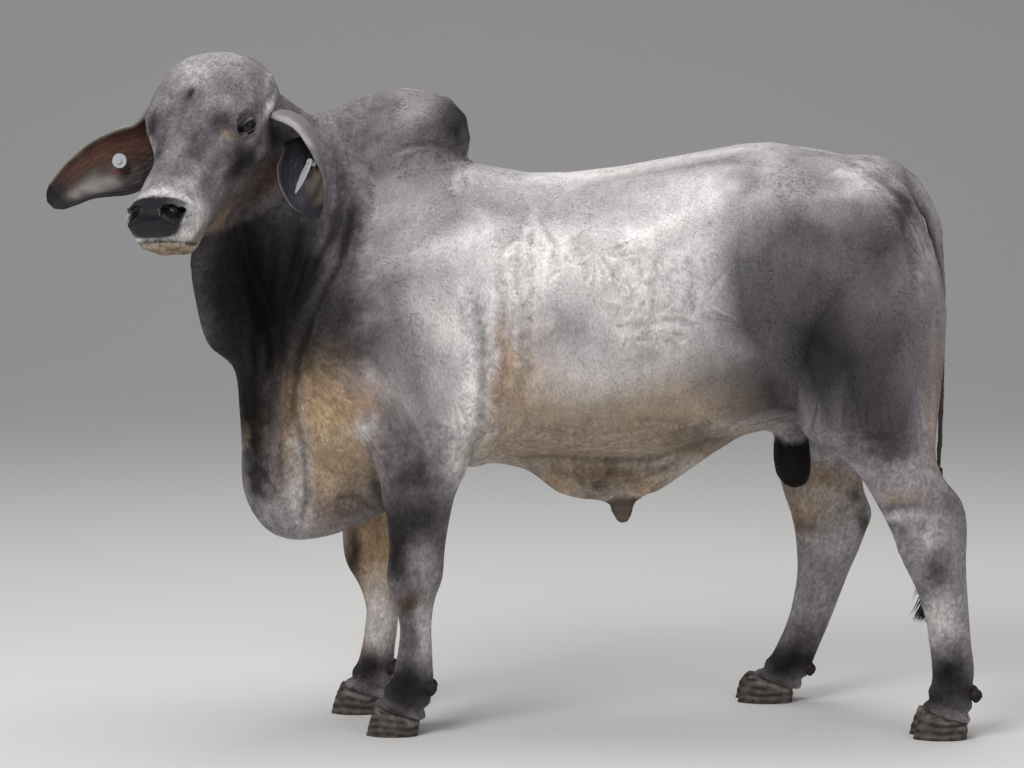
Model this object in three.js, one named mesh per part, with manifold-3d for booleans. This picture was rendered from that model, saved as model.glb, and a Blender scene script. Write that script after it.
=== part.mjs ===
// A life-size standing Brahman bull as a still display model, in millimetres, +Z up.
// The body lies along X with the rump at +X. The left side faces -Y, and the head is turned that way.
import * as THREE from "three";
import { LoftGeometry } from "three/addons/geometries/LoftGeometry.js";
import { mergeVertices } from "three/addons/utils/BufferGeometryUtils.js";
import Module from "manifold-3d";

const wasm = await Module();
wasm.setup();

// Driving dimensions of the animal.
const gap = 0.3; // clearance between touching pieces
const hipHeight = 1433; // ground to the top of the hips
const humpHeight = 1565; // ground to the top of the hump
const backHeight = 1362; // lowest point of the topline, behind the hump
const bellyHeight = 655; // ground to the underline
const barrelHalf = 325; // half the width of the barrel
const noseToPoll = 520; // length of the face
const originShift = new THREE.Vector3(4, 76, 0); // from the middle of the chest to the base of the box

const rad = THREE.MathUtils.degToRad;
const vec = (p) => new THREE.Vector3(...p);

// A smooth value through the stations' own values, by Hermite pieces with the slopes of neighbours.
function smooth(knots, values, t) {
  const last = knots.length - 1;
  let i = 0;
  while (i < last - 1 && t > knots[i + 1]) i++;
  const slope = (k) => {
    const a = Math.max(k - 1, 0);
    const b = Math.min(k + 1, last);
    return (values[b] - values[a]) / (knots[b] - knots[a]);
  };
  const span = knots[i + 1] - knots[i];
  const s = (t - knots[i]) / span;
  const [m0, m1] = [slope(i) * span, slope(i + 1) * span];
  const [p0, p1] = [values[i], values[i + 1]];
  return (
    p0 + s * (m0 + s * (3 * (p1 - p0) - 2 * m0 - m1 + s * (2 * (p0 - p1) + m0 + m1)))
  );
}

const stationDefaults = { turn: 0, pitch: 0, wide: 0, roundUp: 2, roundDown: 2 };
const stationKeys = ["up", "down", "side", "turn", "pitch", "wide", "roundUp", "roundDown"];

// The smooth station at share t of the way along a form.
function stationAt(stations, knots, t) {
  const at = [0, 1, 2].map((k) => smooth(knots, stations.map((s) => s.at[k]), t));
  const made = { at: vec(at) };
  for (const key of stationKeys) {
    const values = stations.map((s) => s[key] ?? stationDefaults[key]);
    made[key] = smooth(knots, values, t);
  }
  return made;
}

// A ring of the section: half-widths up, down and to each side of a centre, as rounded as its two powers say.
// pitch tips the ring's plane from upright (0) to level (90), and turn swings it about Z.
function ring(station, around) {
  const { at, up, down, side, wide } = station;
  const [turn, pitch] = [rad(station.turn), rad(station.pitch)];
  const sideways = new THREE.Vector3(-Math.sin(turn), Math.cos(turn), 0);
  const upward = new THREE.Vector3(
    Math.sin(pitch) * Math.cos(turn),
    Math.sin(pitch) * Math.sin(turn),
    Math.cos(pitch),
  );
  const points = [];
  for (let i = 0; i < around; i++) {
    const angle = (2 * Math.PI * i) / around;
    const [c, s] = [Math.cos(angle), Math.sin(angle)];
    const power = 2 / (s > 0 ? station.roundUp : station.roundDown);
    const reach = s > 0 ? up - wide : down + wide;
    const x = side * Math.sign(c) * Math.abs(c) ** power;
    const z = wide + reach * Math.sign(s) * Math.abs(s) ** power;
    points.push(at.clone().addScaledVector(sideways, x).addScaledVector(upward, z));
  }
  return points;
}

// Pushes a point by each swelling or hollow near it, on both sides of the body.
function shaped(point, swellings) {
  const moved = point.clone();
  for (const { at, size, push } of swellings) {
    for (const flip of [1, -1]) {
      const away =
        ((point.x - at[0]) / size[0]) ** 2 +
        ((point.y - flip * at[1]) / size[1]) ** 2 +
        ((point.z - at[2]) / size[2]) ** 2;
      const share = Math.exp(-away);
      moved.x += push[0] * share;
      moved.y += flip * push[1] * share;
      moved.z += push[2] * share;
    }
  }
  return moved;
}

// A closed form through its stations, as rings for a loft.
function rings(stations, { around = 24, along = 24, swellings = [] } = {}) {
  const knots = [0];
  for (let i = 1; i < stations.length; i++) {
    knots.push(knots[i - 1] + vec(stations[i].at).distanceTo(vec(stations[i - 1].at)));
  }
  const made = [];
  for (let i = 0; i <= along; i++) {
    const station = stationAt(stations, knots, (knots.at(-1) * i) / along);
    made.push(ring(station, around).map((p) => shaped(p, swellings)));
  }
  return made;
}

// three.js geometry to a closed solid, with faces that collapsed at a seam or pole left out.
function solid(geometry) {
  const bare = new THREE.BufferGeometry();
  bare.setAttribute("position", geometry.attributes.position);
  bare.setIndex(geometry.index);
  const merged = mergeVertices(bare, 1e-3);
  const index = merged.index.array;
  const kept = [];
  for (let i = 0; i < index.length; i += 3) {
    const [a, b, c] = index.slice(i, i + 3);
    if (a !== b && b !== c && c !== a) kept.push(a, b, c);
  }
  const vertProperties = merged.attributes.position.array;
  const triVerts = new Uint32Array(kept);
  return new wasm.Manifold(new wasm.Mesh({ numProp: 3, vertProperties, triVerts }));
}

// A closed solid through rings of points, each turned so that the walls face outwards.
function loft(sections) {
  const middle = (points) =>
    points.reduce((sum, p) => sum.add(p), new THREE.Vector3()).divideScalar(points.length);
  const first = middle(sections[0]);
  const onward = middle(sections[1]).sub(first);
  const facing = new THREE.Vector3();
  sections[0].forEach((p, i, all) => {
    const q = all[(i + 1) % all.length];
    facing.add(p.clone().sub(first).cross(q.clone().sub(first)));
  });
  const outward = facing.dot(onward) > 0 ? sections : sections.map((points) => points.toReversed());
  return solid(new LoftGeometry(outward, { closed: true, capStart: true, capEnd: true }));
}

const form = (stations, options) => loft(rings(stations, options));
const mesh3 = (geometry, matrix) => solid(geometry.applyMatrix4(matrix));
const joined = (solids) => wasm.Manifold.union(solids);

// The largest closed body of a solid, without scraps.
function largest(s) {
  const bodies = s.decompose();
  return bodies.reduce((a, b) => (b.volume() > a.volume() ? b : a));
}

// A solid with its skin moved out by the clearance, to cut a neighbour back from it.
function grown(s, by = gap) {
  const { vertProperties, triVerts, numProp } = s.getMesh();
  const count = vertProperties.length / numProp;
  const at = (i) => new THREE.Vector3().fromArray(vertProperties, i * numProp);
  const normals = Array.from({ length: count }, () => new THREE.Vector3());
  for (let i = 0; i < triVerts.length; i += 3) {
    const [a, b, c] = triVerts.slice(i, i + 3);
    const n = at(b).sub(at(a)).cross(at(c).sub(at(a)));
    for (const v of [a, b, c]) normals[v].add(n);
  }
  const moved = new Float32Array(count * 3);
  for (let i = 0; i < count; i++) {
    at(i).addScaledVector(normals[i].normalize(), by).toArray(moved, i * 3);
  }
  return new wasm.Manifold(new wasm.Mesh({ numProp: 3, vertProperties: moved, triVerts }));
}

// Parts a solid along a plane through a point, and leaves the clearance between the two halves.
function parted(s, point, normal) {
  const n = vec(normal).normalize();
  const d = vec(point).dot(n);
  const ahead = s.trimByPlane(n.toArray(), d + gap / 2);
  const behind = s.trimByPlane(n.clone().negate().toArray(), -d + gap / 2);
  return [ahead, behind];
}

// Swellings and hollows of muscle and bone, shared by all the forms of the body.
const muscles = [
  { at: [-470, 215, 960], size: [110, 120, 120], push: [-16, 22, 0] }, // point of the shoulder
  { at: [-300, 275, 1060], size: [120, 110, 220], push: [0, 20, 0] }, // shoulder blade muscles
  { at: [-140, 290, 1010], size: [60, 110, 260], push: [0, -14, 0] }, // hollow behind the shoulder
  { at: [590, 255, 1330], size: [90, 110, 70], push: [0, 18, 14] }, // hook bone
  { at: [600, 300, 1090], size: [110, 110, 150], push: [0, -24, 0] }, // flank hollow
  { at: [960, 110, 1290], size: [60, 60, 70], push: [12, 8, 8] }, // pin bone
  { at: [830, 255, 1000], size: [190, 120, 210], push: [10, 20, 0] }, // thigh
];

// The trunk from the breast to the buttocks.
function trunk() {
  const station = (x, top, bottom, side, more = {}) => {
    const middle = (top + bottom) / 2;
    return { at: [x, 0, middle], up: top - middle, down: middle - bottom, side, ...more };
  };
  return form(
    [
      station(-590, 1100, 800, 60),
      station(-565, 1200, 700, 120),
      station(-490, 1330, 610, 190, { wide: -40 }),
      station(-380, 1400, 575, 240, { wide: -50, roundUp: 1.8 }),
      station(-250, 1408, 590, 270, { wide: -50, roundUp: 1.8 }),
      station(-100, 1384, 628, 290, { wide: -40 }),
      station(40, backHeight, bellyHeight, 308, { wide: -20 }),
      station(180, backHeight + 3, bellyHeight, barrelHalf, { wide: -20, roundDown: 2.1 }),
      station(330, backHeight + 26, bellyHeight + 5, barrelHalf, { roundUp: 2.1 }),
      station(470, backHeight + 52, 680, 312, { wide: 20, roundUp: 2.2 }),
      station(590, hipHeight, 712, 290, { wide: 40, roundUp: 2.3 }),
      station(700, hipHeight - 8, 740, 268, { wide: 60, roundUp: 2.3 }),
      station(800, hipHeight - 30, 770, 250, { wide: 60, roundUp: 2.3 }),
      station(890, hipHeight - 55, 800, 228, { wide: 60, roundUp: 2.3 }),
      station(950, 1325, 840, 190, { wide: 40 }),
      station(985, 1230, 900, 140),
      station(1000, 1130, 980, 60),
    ],
    { around: 24, along: 21, swellings: muscles },
  );
}

// One level slice of a leg: its front and rear edges at a height, and its half-width about its own line.
const slice = (z, front, rear, y, side, more = {}) => ({
  at: [(front + rear) / 2, y, z],
  up: (rear - front) / 2,
  down: (rear - front) / 2,
  side,
  pitch: 90,
  ...more,
});

// The shoulder and upper arm, which lie on the rib cage, and the forearm below them.
function foreleg(hand) {
  const near = hand < 0;
  const upper = [
    slice(1250, -385, -200, hand * 130, 40),
    slice(1130, -465, -140, hand * 168, 74),
    slice(980, -490, -100, hand * 192, 92),
    slice(840, -450, -78, hand * 194, 94),
    slice(730, -375, -78, hand * 188, 90),
  ];
  const lower = near
    ? [
        slice(636, -331, -105, -175, 84),
        slice(590, -322, -128, -168, 76),
        slice(534, -307, -142, -162, 68),
        slice(448, -301, -156, -155, 60),
        slice(376, -308, -162, -152, 58, { roundDown: 2.5 }),
        slice(324, -294, -181, -150, 50),
        slice(264, -277, -188, -149, 38),
        slice(212, -281, -187, -148, 38),
        slice(160, -291, -185, -147, 46),
        slice(118, -305, -183, -146, 50),
        slice(84, -325, -192, -145, 54),
        slice(58, -340, -204, -145, 56),
        slice(8, -352, -216, -145, 54),
      ]
    : [
        slice(636, -400, -150, 172, 84),
        slice(590, -412, -194, 160, 76),
        slice(534, -427, -230, 146, 68),
        slice(448, -434, -260, 128, 60),
        slice(376, -424, -272, 118, 58, { roundDown: 2.5 }),
        slice(324, -394, -282, 112, 50),
        slice(264, -374, -282, 108, 38),
        slice(212, -378, -282, 106, 38),
        slice(160, -386, -290, 104, 46),
        slice(118, -398, -292, 103, 50),
        slice(84, -416, -300, 102, 54),
        slice(58, -430, -308, 102, 56),
        slice(8, -450, -322, 102, 54),
      ];
  return form([...upper, ...lower], { around: 12, along: 21, swellings: muscles });
}

// The thigh and the leg below it, with the hock's point to the rear.
function hindleg(hand) {
  const near = hand < 0;
  const upper = [
    slice(1330, 770, 920, hand * 92, 44),
    slice(1200, 695, 1000, hand * 138, 86),
    slice(1050, 655, 1034, hand * 168, 98),
    slice(900, 655, 1030, hand * 182, 98),
    slice(800, 668, 1020, hand * 190, 92),
  ];
  const lower = near
    ? [
        slice(728, 690, 1014, -198, 84),
        slice(680, 770, 1014, -200, 74),
        slice(631, 822, 1034, -200, 64),
        slice(580, 854, 1076, -200, 56),
        slice(526, 884, 1092, -198, 50),
        slice(478, 907, 1093, -196, 49),
        slice(424, 927, 1093, -194, 46),
        slice(365, 958, 1097, -191, 40),
        slice(284, 985, 1105, -188, 36),
        slice(225, 995, 1110, -186, 38),
        slice(165, 1004, 1117, -184, 46),
        slice(128, 1004, 1115, -183, 49),
        slice(84, 994, 1110, -182, 54),
        slice(58, 984, 1108, -182, 56),
        slice(8, 966, 1098, -182, 54),
      ]
    : [
        slice(728, 665, 1000, 200, 84),
        slice(680, 668, 950, 204, 74),
        slice(631, 672, 913, 208, 64),
        slice(560, 682, 904, 212, 56),
        slice(490, 706, 929, 215, 50),
        slice(440, 718, 913, 217, 49),
        slice(390, 724, 895, 219, 46),
        slice(329, 725, 871, 221, 40),
        slice(260, 715, 846, 224, 36),
        slice(196, 698, 822, 227, 38),
        slice(140, 674, 798, 229, 46),
        slice(108, 658, 786, 230, 49),
        slice(78, 633, 772, 230, 54),
        slice(58, 616, 760, 230, 56),
        slice(8, 584, 732, 230, 54),
      ];
  return form([...upper, ...lower], { around: 12, along: 23, swellings: muscles });
}

// The neck, which swings to the left as it rises to the head.
function neck() {
  return form(
    [
      { at: [-690, -150, 1510], turn: 72, pitch: 20, up: 70, down: 70, side: 70 },
      { at: [-645, -120, 1450], turn: 64, pitch: 24, up: 134, down: 130, side: 104 },
      { at: [-585, -90, 1370], turn: 48, pitch: 26, up: 166, down: 190, side: 124 },
      { at: [-520, -60, 1280], turn: 32, pitch: 25, up: 205, down: 230, side: 145, roundUp: 1.8 },
      { at: [-440, -22, 1180], turn: 14, pitch: 18, up: 280, down: 290, side: 185, roundUp: 1.7 },
      { at: [-340, 0, 1080], turn: 0, pitch: 0, up: 360, down: 340, side: 220, roundUp: 1.8 },
    ],
    { around: 18, along: 9, swellings: muscles },
  );
}

// The hump over the shoulders, which leans back over a notch.
function hump() {
  return form(
    [
      { at: [-535, -45, 1420], turn: 20, up: 70, down: 60, side: 40 },
      { at: [-450, -10, 1420], turn: 8, up: 88, down: 100, side: 72 },
      { at: [-370, 0, 1415], up: 128, down: 120, side: 100 },
      { at: [-280, 0, 1415], up: humpHeight - 1415, down: 130, side: 118 },
      { at: [-200, 0, 1420], up: 138, down: 120, side: 114 },
      { at: [-145, 0, 1428], up: 108, down: 70, side: 96 },
      { at: [-112, 0, 1436], up: 66, down: 42, side: 66 },
      { at: [-98, 0, 1440], up: 20, down: 18, side: 24 },
    ],
    { around: 18, along: 13 },
  );
}

// The loose skin that hangs from the throat down to the brisket and back between the forelegs.
function dewlap() {
  return form(
    [
      { at: [-700, -205, 1310], turn: 72, pitch: 62, up: 70, down: 46, side: 30 },
      { at: [-704, -214, 1240], turn: 70, pitch: 70, up: 110, down: 62, side: 34 },
      { at: [-705, -205, 1160], turn: 66, pitch: 76, up: 140, down: 92, side: 38 },
      { at: [-690, -185, 1060], turn: 58, pitch: 80, up: 150, down: 92, side: 38 },
      { at: [-665, -155, 965], turn: 50, pitch: 76, up: 150, down: 84, side: 40 },
      { at: [-610, -95, 900], turn: 38, pitch: 78, up: 110, down: 76, side: 48 },
      { at: [-575, -55, 805], turn: 26, pitch: 80, up: 110, down: 100, side: 60 },
      { at: [-550, -28, 710], turn: 16, pitch: 78, up: 110, down: 122, side: 72 },
      { at: [-530, -10, 620], turn: 8, pitch: 68, up: 120, down: 144, side: 80 },
      { at: [-490, 0, 572], pitch: 42, up: 130, down: 152, side: 84, roundDown: 1.9 },
      { at: [-430, 0, 568], pitch: 14, up: 140, down: 118, side: 86, roundDown: 1.8 },
      { at: [-360, 0, 590], pitch: 0, up: 130, down: 98, side: 80, roundDown: 1.8 },
      { at: [-270, 0, 620], pitch: 0, up: 100, down: 84, side: 70 },
      { at: [-170, 0, 660], pitch: 0, up: 60, down: 60, side: 50 },
    ],
    { around: 12, along: 22 },
  );
}

// The sheath under the belly, a loose fold that ends in a short tube.
function sheath() {
  const station = (x, top, bottom, side) => ({
    at: [x, 0, (top + bottom) / 2],
    up: (top - bottom) / 2,
    down: (top - bottom) / 2,
    side,
  });
  const fold = form(
    [
      station(-110, 700, 640, 20),
      station(-30, 710, 634, 34),
      station(40, 710, 616, 42),
      station(110, 710, 564, 48),
      station(180, 710, 546, 50),
      station(250, 710, 545, 50),
      station(320, 710, 548, 48),
      station(400, 715, 592, 44),
      station(480, 730, 648, 38),
      station(560, 745, 700, 30),
      station(620, 755, 730, 18),
    ],
    { around: 12, along: 14 },
  );
  const tube = form(
    [
      slice(600, 235, 305, 0, 34),
      slice(548, 236, 306, 0, 34),
      slice(515, 243, 303, 0, 29),
      slice(494, 252, 294, 0, 21),
      slice(486, 262, 284, 0, 10),
    ],
    { around: 12, along: 6 },
  );
  return joined([fold, tube]);
}

// The scrotum hangs between the thighs, with its two halves side by side.
function scrotum() {
  const half = (hand) =>
    form(
      [
        slice(790, 650, 720, hand * 18, 22),
        slice(730, 645, 730, hand * 24, 30),
        slice(670, 640, 738, hand * 30, 38),
        slice(620, 646, 738, hand * 32, 40),
        slice(590, 660, 726, hand * 32, 30),
        slice(578, 682, 704, hand * 32, 12),
      ],
      { around: 12, along: 8 },
    );
  return joined([half(-1), half(1)]);
}

// The tail arches over the rump and hangs behind it.
function tail() {
  return form(
    [
      { at: [770, 0, 1368], pitch: 0, up: 30, down: 60, side: 55 },
      { at: [870, 0, 1372], pitch: 8, up: 32, down: 50, side: 46 },
      { at: [945, 0, 1348], pitch: 32, up: 32, down: 38, side: 36 },
      { at: [1002, 0, 1290], pitch: 58, up: 26, down: 27, side: 28 },
      { at: [1036, 0, 1210], pitch: 76, up: 20, down: 20, side: 22 },
      { at: [1050, 0, 1100], pitch: 87, up: 16, down: 16, side: 18 },
      { at: [1056, 0, 900], pitch: 90, up: 14, down: 14, side: 15 },
      { at: [1054, 0, 700], pitch: 90, up: 12, down: 12, side: 13 },
      { at: [1048, 0, 560], pitch: 92, up: 10, down: 10, side: 11 },
    ],
    { around: 10, along: 18 },
  );
}

// The head is drawn level, nose towards -X, and then turned into its place.
const headPlace = new THREE.Matrix4()
  .makeTranslation(-669, -84, 1538)
  .multiply(new THREE.Matrix4().makeRotationZ(rad(69.9)))
  .multiply(new THREE.Matrix4().makeRotationY(rad(-38.6)))
  .multiply(new THREE.Matrix4().makeRotationX(rad(-3)));

// A solid given in the level head's own frame, set in its place.
const headSolid = (s) => s.transform(headPlace.toArray());

function skull() {
  const station = (x, top, bottom, side, more = {}) => ({
    at: [x, 0, 0],
    up: top,
    down: -bottom,
    side,
    ...more,
  });
  return form(
    [
      station(-noseToPoll, 10, -40, 42, { roundUp: 2.4, roundDown: 2.5 }),
      station(-513, 32, -64, 62, { roundUp: 2.6, roundDown: 2.5 }),
      station(-494, 48, -81, 74, { roundUp: 2.6, roundDown: 2.5 }),
      station(-458, 57, -109, 79, { roundUp: 2.5, roundDown: 2.5 }),
      station(-418, 62, -118, 75, { roundUp: 2.4, roundDown: 2.5 }),
      station(-370, 68, -123, 74, { roundUp: 2.3, roundDown: 2.4 }),
      station(-320, 77, -150, 79, { roundUp: 2.2, roundDown: 2.3 }),
      station(-270, 88, -166, 94, { wide: 14, roundUp: 2.2, roundDown: 2.1 }),
      station(-225, 105, -172, 118, { wide: 26, roundUp: 2.75, roundDown: 1.85 }),
      station(-185, 124, -178, 135, { wide: 32, roundUp: 2.8, roundDown: 1.75 }),
      station(-145, 140, -178, 142, { wide: 30, roundUp: 2.8, roundDown: 1.7 }),
      station(-100, 152, -164, 140, { wide: 22, roundUp: 2.7, roundDown: 1.8 }),
      station(-55, 154, -138, 137, { wide: 14, roundUp: 2.5 }),
      station(-15, 140, -108, 133, { roundUp: 2.4 }),
      station(24, 110, -78, 114, { roundUp: 2.4 }),
      station(52, 68, -48, 78, { roundUp: 2.3 }),
      station(68, 21, -18, 28),
    ],
    { around: 20, along: 20 },
  );
}

// The centre of an eyeball in the head's frame, and the way it looks.
const eyeRadius = 23;
const eyeAt = (hand) => [-175, hand * 117, 38];
const eyeLook = (hand) => vec([-0.38, hand * 0.9, 0.2]).normalize();

const eyeball = (hand) => {
  const ball = new THREE.SphereGeometry(eyeRadius, 12, 9);
  return headSolid(mesh3(ball, new THREE.Matrix4().makeTranslation(...eyeAt(hand))));
};

// A rim of two lids about the eye, longer than high, with a brow above.
function lids(hand) {
  const rim = new THREE.TorusGeometry(1, 0.32, 5, 14);
  const look = eyeLook(hand);
  const place = new THREE.Matrix4()
    .makeTranslation(...vec(eyeAt(hand)).addScaledVector(look, 15).toArray())
    .multiply(new THREE.Matrix4().lookAt(look, new THREE.Vector3(), vec([0, 0, 1])))
    .multiply(new THREE.Matrix4().makeScale(24, 17, 20));
  const brow = new THREE.SphereGeometry(1, 9, 6);
  const browPlace = new THREE.Matrix4()
    .makeTranslation(-163, hand * 112, 64)
    .multiply(new THREE.Matrix4().makeScale(44, 26, 20));
  return [mesh3(rim, place), mesh3(brow, browPlace)];
}

// The moist pad at the front of the muzzle, wider at its top.
const padCutter = () =>
  form(
    [
      { at: [-560, 0, 20], up: 36, down: 34, side: 70, roundUp: 3.5, roundDown: 2.1 },
      { at: [-484, 0, 20], up: 36, down: 34, side: 72, roundUp: 3.5, roundDown: 2.1 },
      { at: [-462, 0, 22], up: 30, down: 26, side: 50, roundUp: 3, roundDown: 2.1 },
    ],
    { around: 16, along: 3 },
  );

const nostril = (hand) => {
  const hole = new THREE.SphereGeometry(1, 10, 8);
  const place = new THREE.Matrix4()
    .makeTranslation(-489, hand * 58, 33)
    .multiply(new THREE.Matrix4().makeRotationX(hand * rad(-41)))
    .multiply(new THREE.Matrix4().makeScale(17, 23, 10));
  return mesh3(hole, place);
};

// The line of the mouth, a thin groove from one corner round the front to the other.
function mouthGroove(whole) {
  const slab = form(
    [
      { at: [-545, 0, 4], up: 2.2, down: 2.2, side: 110, roundUp: 8, roundDown: 8 },
      { at: [-520, 0, -21], up: 2.2, down: 2.2, side: 110, roundUp: 8, roundDown: 8 },
      { at: [-468, 0, -77], up: 2.2, down: 2.2, side: 110, roundUp: 8, roundDown: 8 },
      { at: [-430, 0, -88], up: 1.8, down: 1.8, side: 110, roundUp: 8, roundDown: 8 },
      { at: [-396, 0, -90], up: 0.4, down: 0.4, side: 110, roundUp: 8, roundDown: 8 },
    ],
    { around: 8, along: 5 },
  );
  return slab.subtract(whole.scale([0.965, 0.84, 0.9]));
}

// The head with its lids, mouth and nostrils, and the nose pad parted from it.
function headAndPad() {
  const bone = skull();
  const whole = joined([bone, ...lids(-1), ...lids(1)])
    .subtract(mouthGroove(bone))
    .subtract(nostril(-1))
    .subtract(nostril(1));
  const cutter = padCutter();
  const pad = largest(whole.intersect(cutter));
  const head = largest(whole.subtract(grown(cutter)));
  return [headSolid(head), headSolid(pad)];
}

// One slice of an ear: a shallow trough across its length, thinner at its two rims.
// reach is the half-width, cup the depth of the trough, and open the way the trough faces.
function troughRing({ at, along, open, reach, cup, thick }) {
  const across = new THREE.Vector3().crossVectors(open, along).normalize();
  const steps = 6;
  const edge = [];
  for (let i = 0; i <= steps; i++) {
    const a = (2 * i) / steps - 1;
    edge.push([a, 1 - a * a]);
  }
  const point = (a, dip, side) =>
    at
      .clone()
      .addScaledVector(across, reach * a)
      .addScaledVector(open, -cup * dip + side * thick * (0.25 + 0.25 * dip));
  const back = edge.map(([a, dip]) => point(a, dip, -1));
  const front = edge.map(([a, dip]) => point(a, dip, 1)).reverse();
  return [...back, ...front];
}

// An ear through its stations, given in the body's frame.
function ear(stations) {
  const knots = [0];
  for (let i = 1; i < stations.length; i++) {
    knots.push(knots[i - 1] + vec(stations[i].at).distanceTo(vec(stations[i - 1].at)));
  }
  const value = (pick, t) => smooth(knots, stations.map(pick), t);
  const point = (pick, t) => new THREE.Vector3(...[0, 1, 2].map((k) => value((s) => pick(s)[k], t)));
  const slices = 12;
  const made = [];
  for (let i = 0; i <= slices; i++) {
    const t = (knots.at(-1) * i) / slices;
    const at = point((s) => s.at, t);
    const ahead = point((s) => s.at, Math.min(t + 1, knots.at(-1)));
    const behind = point((s) => s.at, Math.max(t - 1, 0));
    const along = ahead.sub(behind).normalize();
    const open = point((s) => s.open, t);
    open.addScaledVector(along, -open.dot(along)).normalize();
    const section = {
      at,
      along,
      open,
      reach: value((s) => s.reach, t),
      cup: value((s) => s.cup, t),
      thick: value((s) => s.thick, t),
    };
    made.push(troughRing(section));
  }
  return loft(made);
}

// The right ear, beyond the face, opens towards the front and hangs out and down.
const earRight = () =>
  ear([
    { at: [-790, -58, 1526], open: [-0.5, -0.8, -0.1], reach: 34, cup: 26, thick: 26 },
    { at: [-832, -54, 1477], open: [-0.4, -0.88, -0.1], reach: 50, cup: 36, thick: 18 },
    { at: [-878, -52, 1416], open: [-0.25, -0.95, 0.0], reach: 69, cup: 40, thick: 12 },
    { at: [-930, -54, 1384], open: [-0.15, -0.97, 0.05], reach: 79, cup: 36, thick: 10 },
    { at: [-984, -60, 1366], open: [-0.1, -0.98, 0.1], reach: 74, cup: 28, thick: 9 },
    { at: [-1035, -68, 1341], open: [-0.1, -0.98, 0.1], reach: 58, cup: 18, thick: 8 },
    { at: [-1078, -76, 1309], open: [-0.1, -0.98, 0.1], reach: 44, cup: 10, thick: 8 },
    { at: [-1101, -79, 1287], open: [-0.1, -0.98, 0.1], reach: 30, cup: 5, thick: 8 },
    { at: [-1112, -81, 1276], open: [-0.1, -0.98, 0.1], reach: 12, cup: 2, thick: 7 },
  ]);

// The left ear lies back along the neck and hangs down, opening forwards.
const earLeft = () =>
  ear([
    { at: [-552, -150, 1470], open: [-0.8, -0.5, -0.3], reach: 30, cup: 34, thick: 26 },
    { at: [-536, -202, 1447], open: [-0.85, -0.45, -0.25], reach: 46, cup: 58, thick: 18 },
    { at: [-519, -234, 1416], open: [-0.84, -0.54, -0.05], reach: 60, cup: 70, thick: 12 },
    { at: [-504, -252, 1374], open: [-0.75, -0.65, 0.05], reach: 66, cup: 70, thick: 10 },
    { at: [-490, -262, 1334], open: [-0.6, -0.78, 0.12], reach: 62, cup: 52, thick: 9 },
    { at: [-478, -266, 1299], open: [-0.45, -0.88, 0.18], reach: 50, cup: 28, thick: 8 },
    { at: [-466, -268, 1273], open: [-0.35, -0.92, 0.2], reach: 32, cup: 12, thick: 8 },
    { at: [-455, -268, 1246], open: [-0.3, -0.93, 0.2], reach: 9, cup: 2, thick: 7 },
  ]);

// A round button tag, and a leaf-shaped one with a button at its top.
function buttonTag() {
  const disc = new THREE.CylinderGeometry(18, 18, 3, 16);
  const boss = new THREE.CylinderGeometry(7, 7, 14, 8);
  const place = new THREE.Matrix4()
    .makeTranslation(-950, -46, 1383)
    .multiply(new THREE.Matrix4().lookAt(vec([-0.15, -0.97, 0.05]), vec([0, 0, 0]), vec([0, 0, 1])))
    .multiply(new THREE.Matrix4().makeRotationX(rad(90)));
  const stud = new THREE.Matrix4().makeTranslation(0, -2, 0);
  return joined([mesh3(disc, place), mesh3(boss, place.clone().multiply(stud))]);
}

function leafTag() {
  const outline = new THREE.Shape();
  outline.moveTo(-9, 0);
  outline.lineTo(9, 0);
  outline.quadraticCurveTo(30, -30, 18, -62);
  outline.quadraticCurveTo(8, -84, 0, -88);
  outline.quadraticCurveTo(-8, -84, -18, -62);
  outline.quadraticCurveTo(-30, -30, -9, 0);
  const leaf = new THREE.ExtrudeGeometry(outline, { depth: 2.4, bevelEnabled: false, curveSegments: 4 });
  const stud = new THREE.CylinderGeometry(6, 6, 20, 8);
  const place = new THREE.Matrix4()
    .makeTranslation(-465, -286, 1384)
    .multiply(new THREE.Matrix4().makeRotationY(rad(25)))
    .multiply(new THREE.Matrix4().makeRotationZ(rad(-70)))
    .multiply(new THREE.Matrix4().makeRotationX(rad(90)));
  const studPlace = place
    .clone()
    .multiply(new THREE.Matrix4().makeTranslation(0, -8, -3))
    .multiply(new THREE.Matrix4().makeRotationX(rad(90)));
  return joined([mesh3(leaf, place), mesh3(stud, studPlace)]);
}

// One of the two claws of a foot, flat on the ground, with its toe forwards.
// foot holds the toe and heel at the ground, the middle line and how far the coronet stands back.
function claw({ toe, heel, y, lean }, hand) {
  const level = (z, front, rear, side, tip = 0) => ({
    at: [(front + rear) / 2, y + hand * (28 - z * 0.02), z],
    up: (rear - front) / 2,
    down: (rear - front) / 2,
    side,
    pitch: 90 + tip,
    roundUp: 2.2,
    roundDown: 2.1,
  });
  return form(
    [
      level(96, toe + lean + 10, heel + 8, 24, 14),
      level(66, toe + lean, heel + 6, 26, 14),
      level(40, toe + 14, heel + 4, 27, 8),
      level(14, toe + 3, heel + 3, 27.5),
      level(0, toe, heel, 27),
    ],
    { around: 12, along: 5 },
  );
}

// A small blunt horn behind the fetlock.
const dewclaw = ([x, y, z], hand) => {
  const horn = new THREE.SphereGeometry(1, 8, 5);
  const place = new THREE.Matrix4()
    .makeTranslation(x, y + hand * 24, z)
    .multiply(new THREE.Matrix4().makeRotationY(rad(-35)))
    .multiply(new THREE.Matrix4().makeScale(13, 14, 22));
  return mesh3(horn, place);
};

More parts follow.
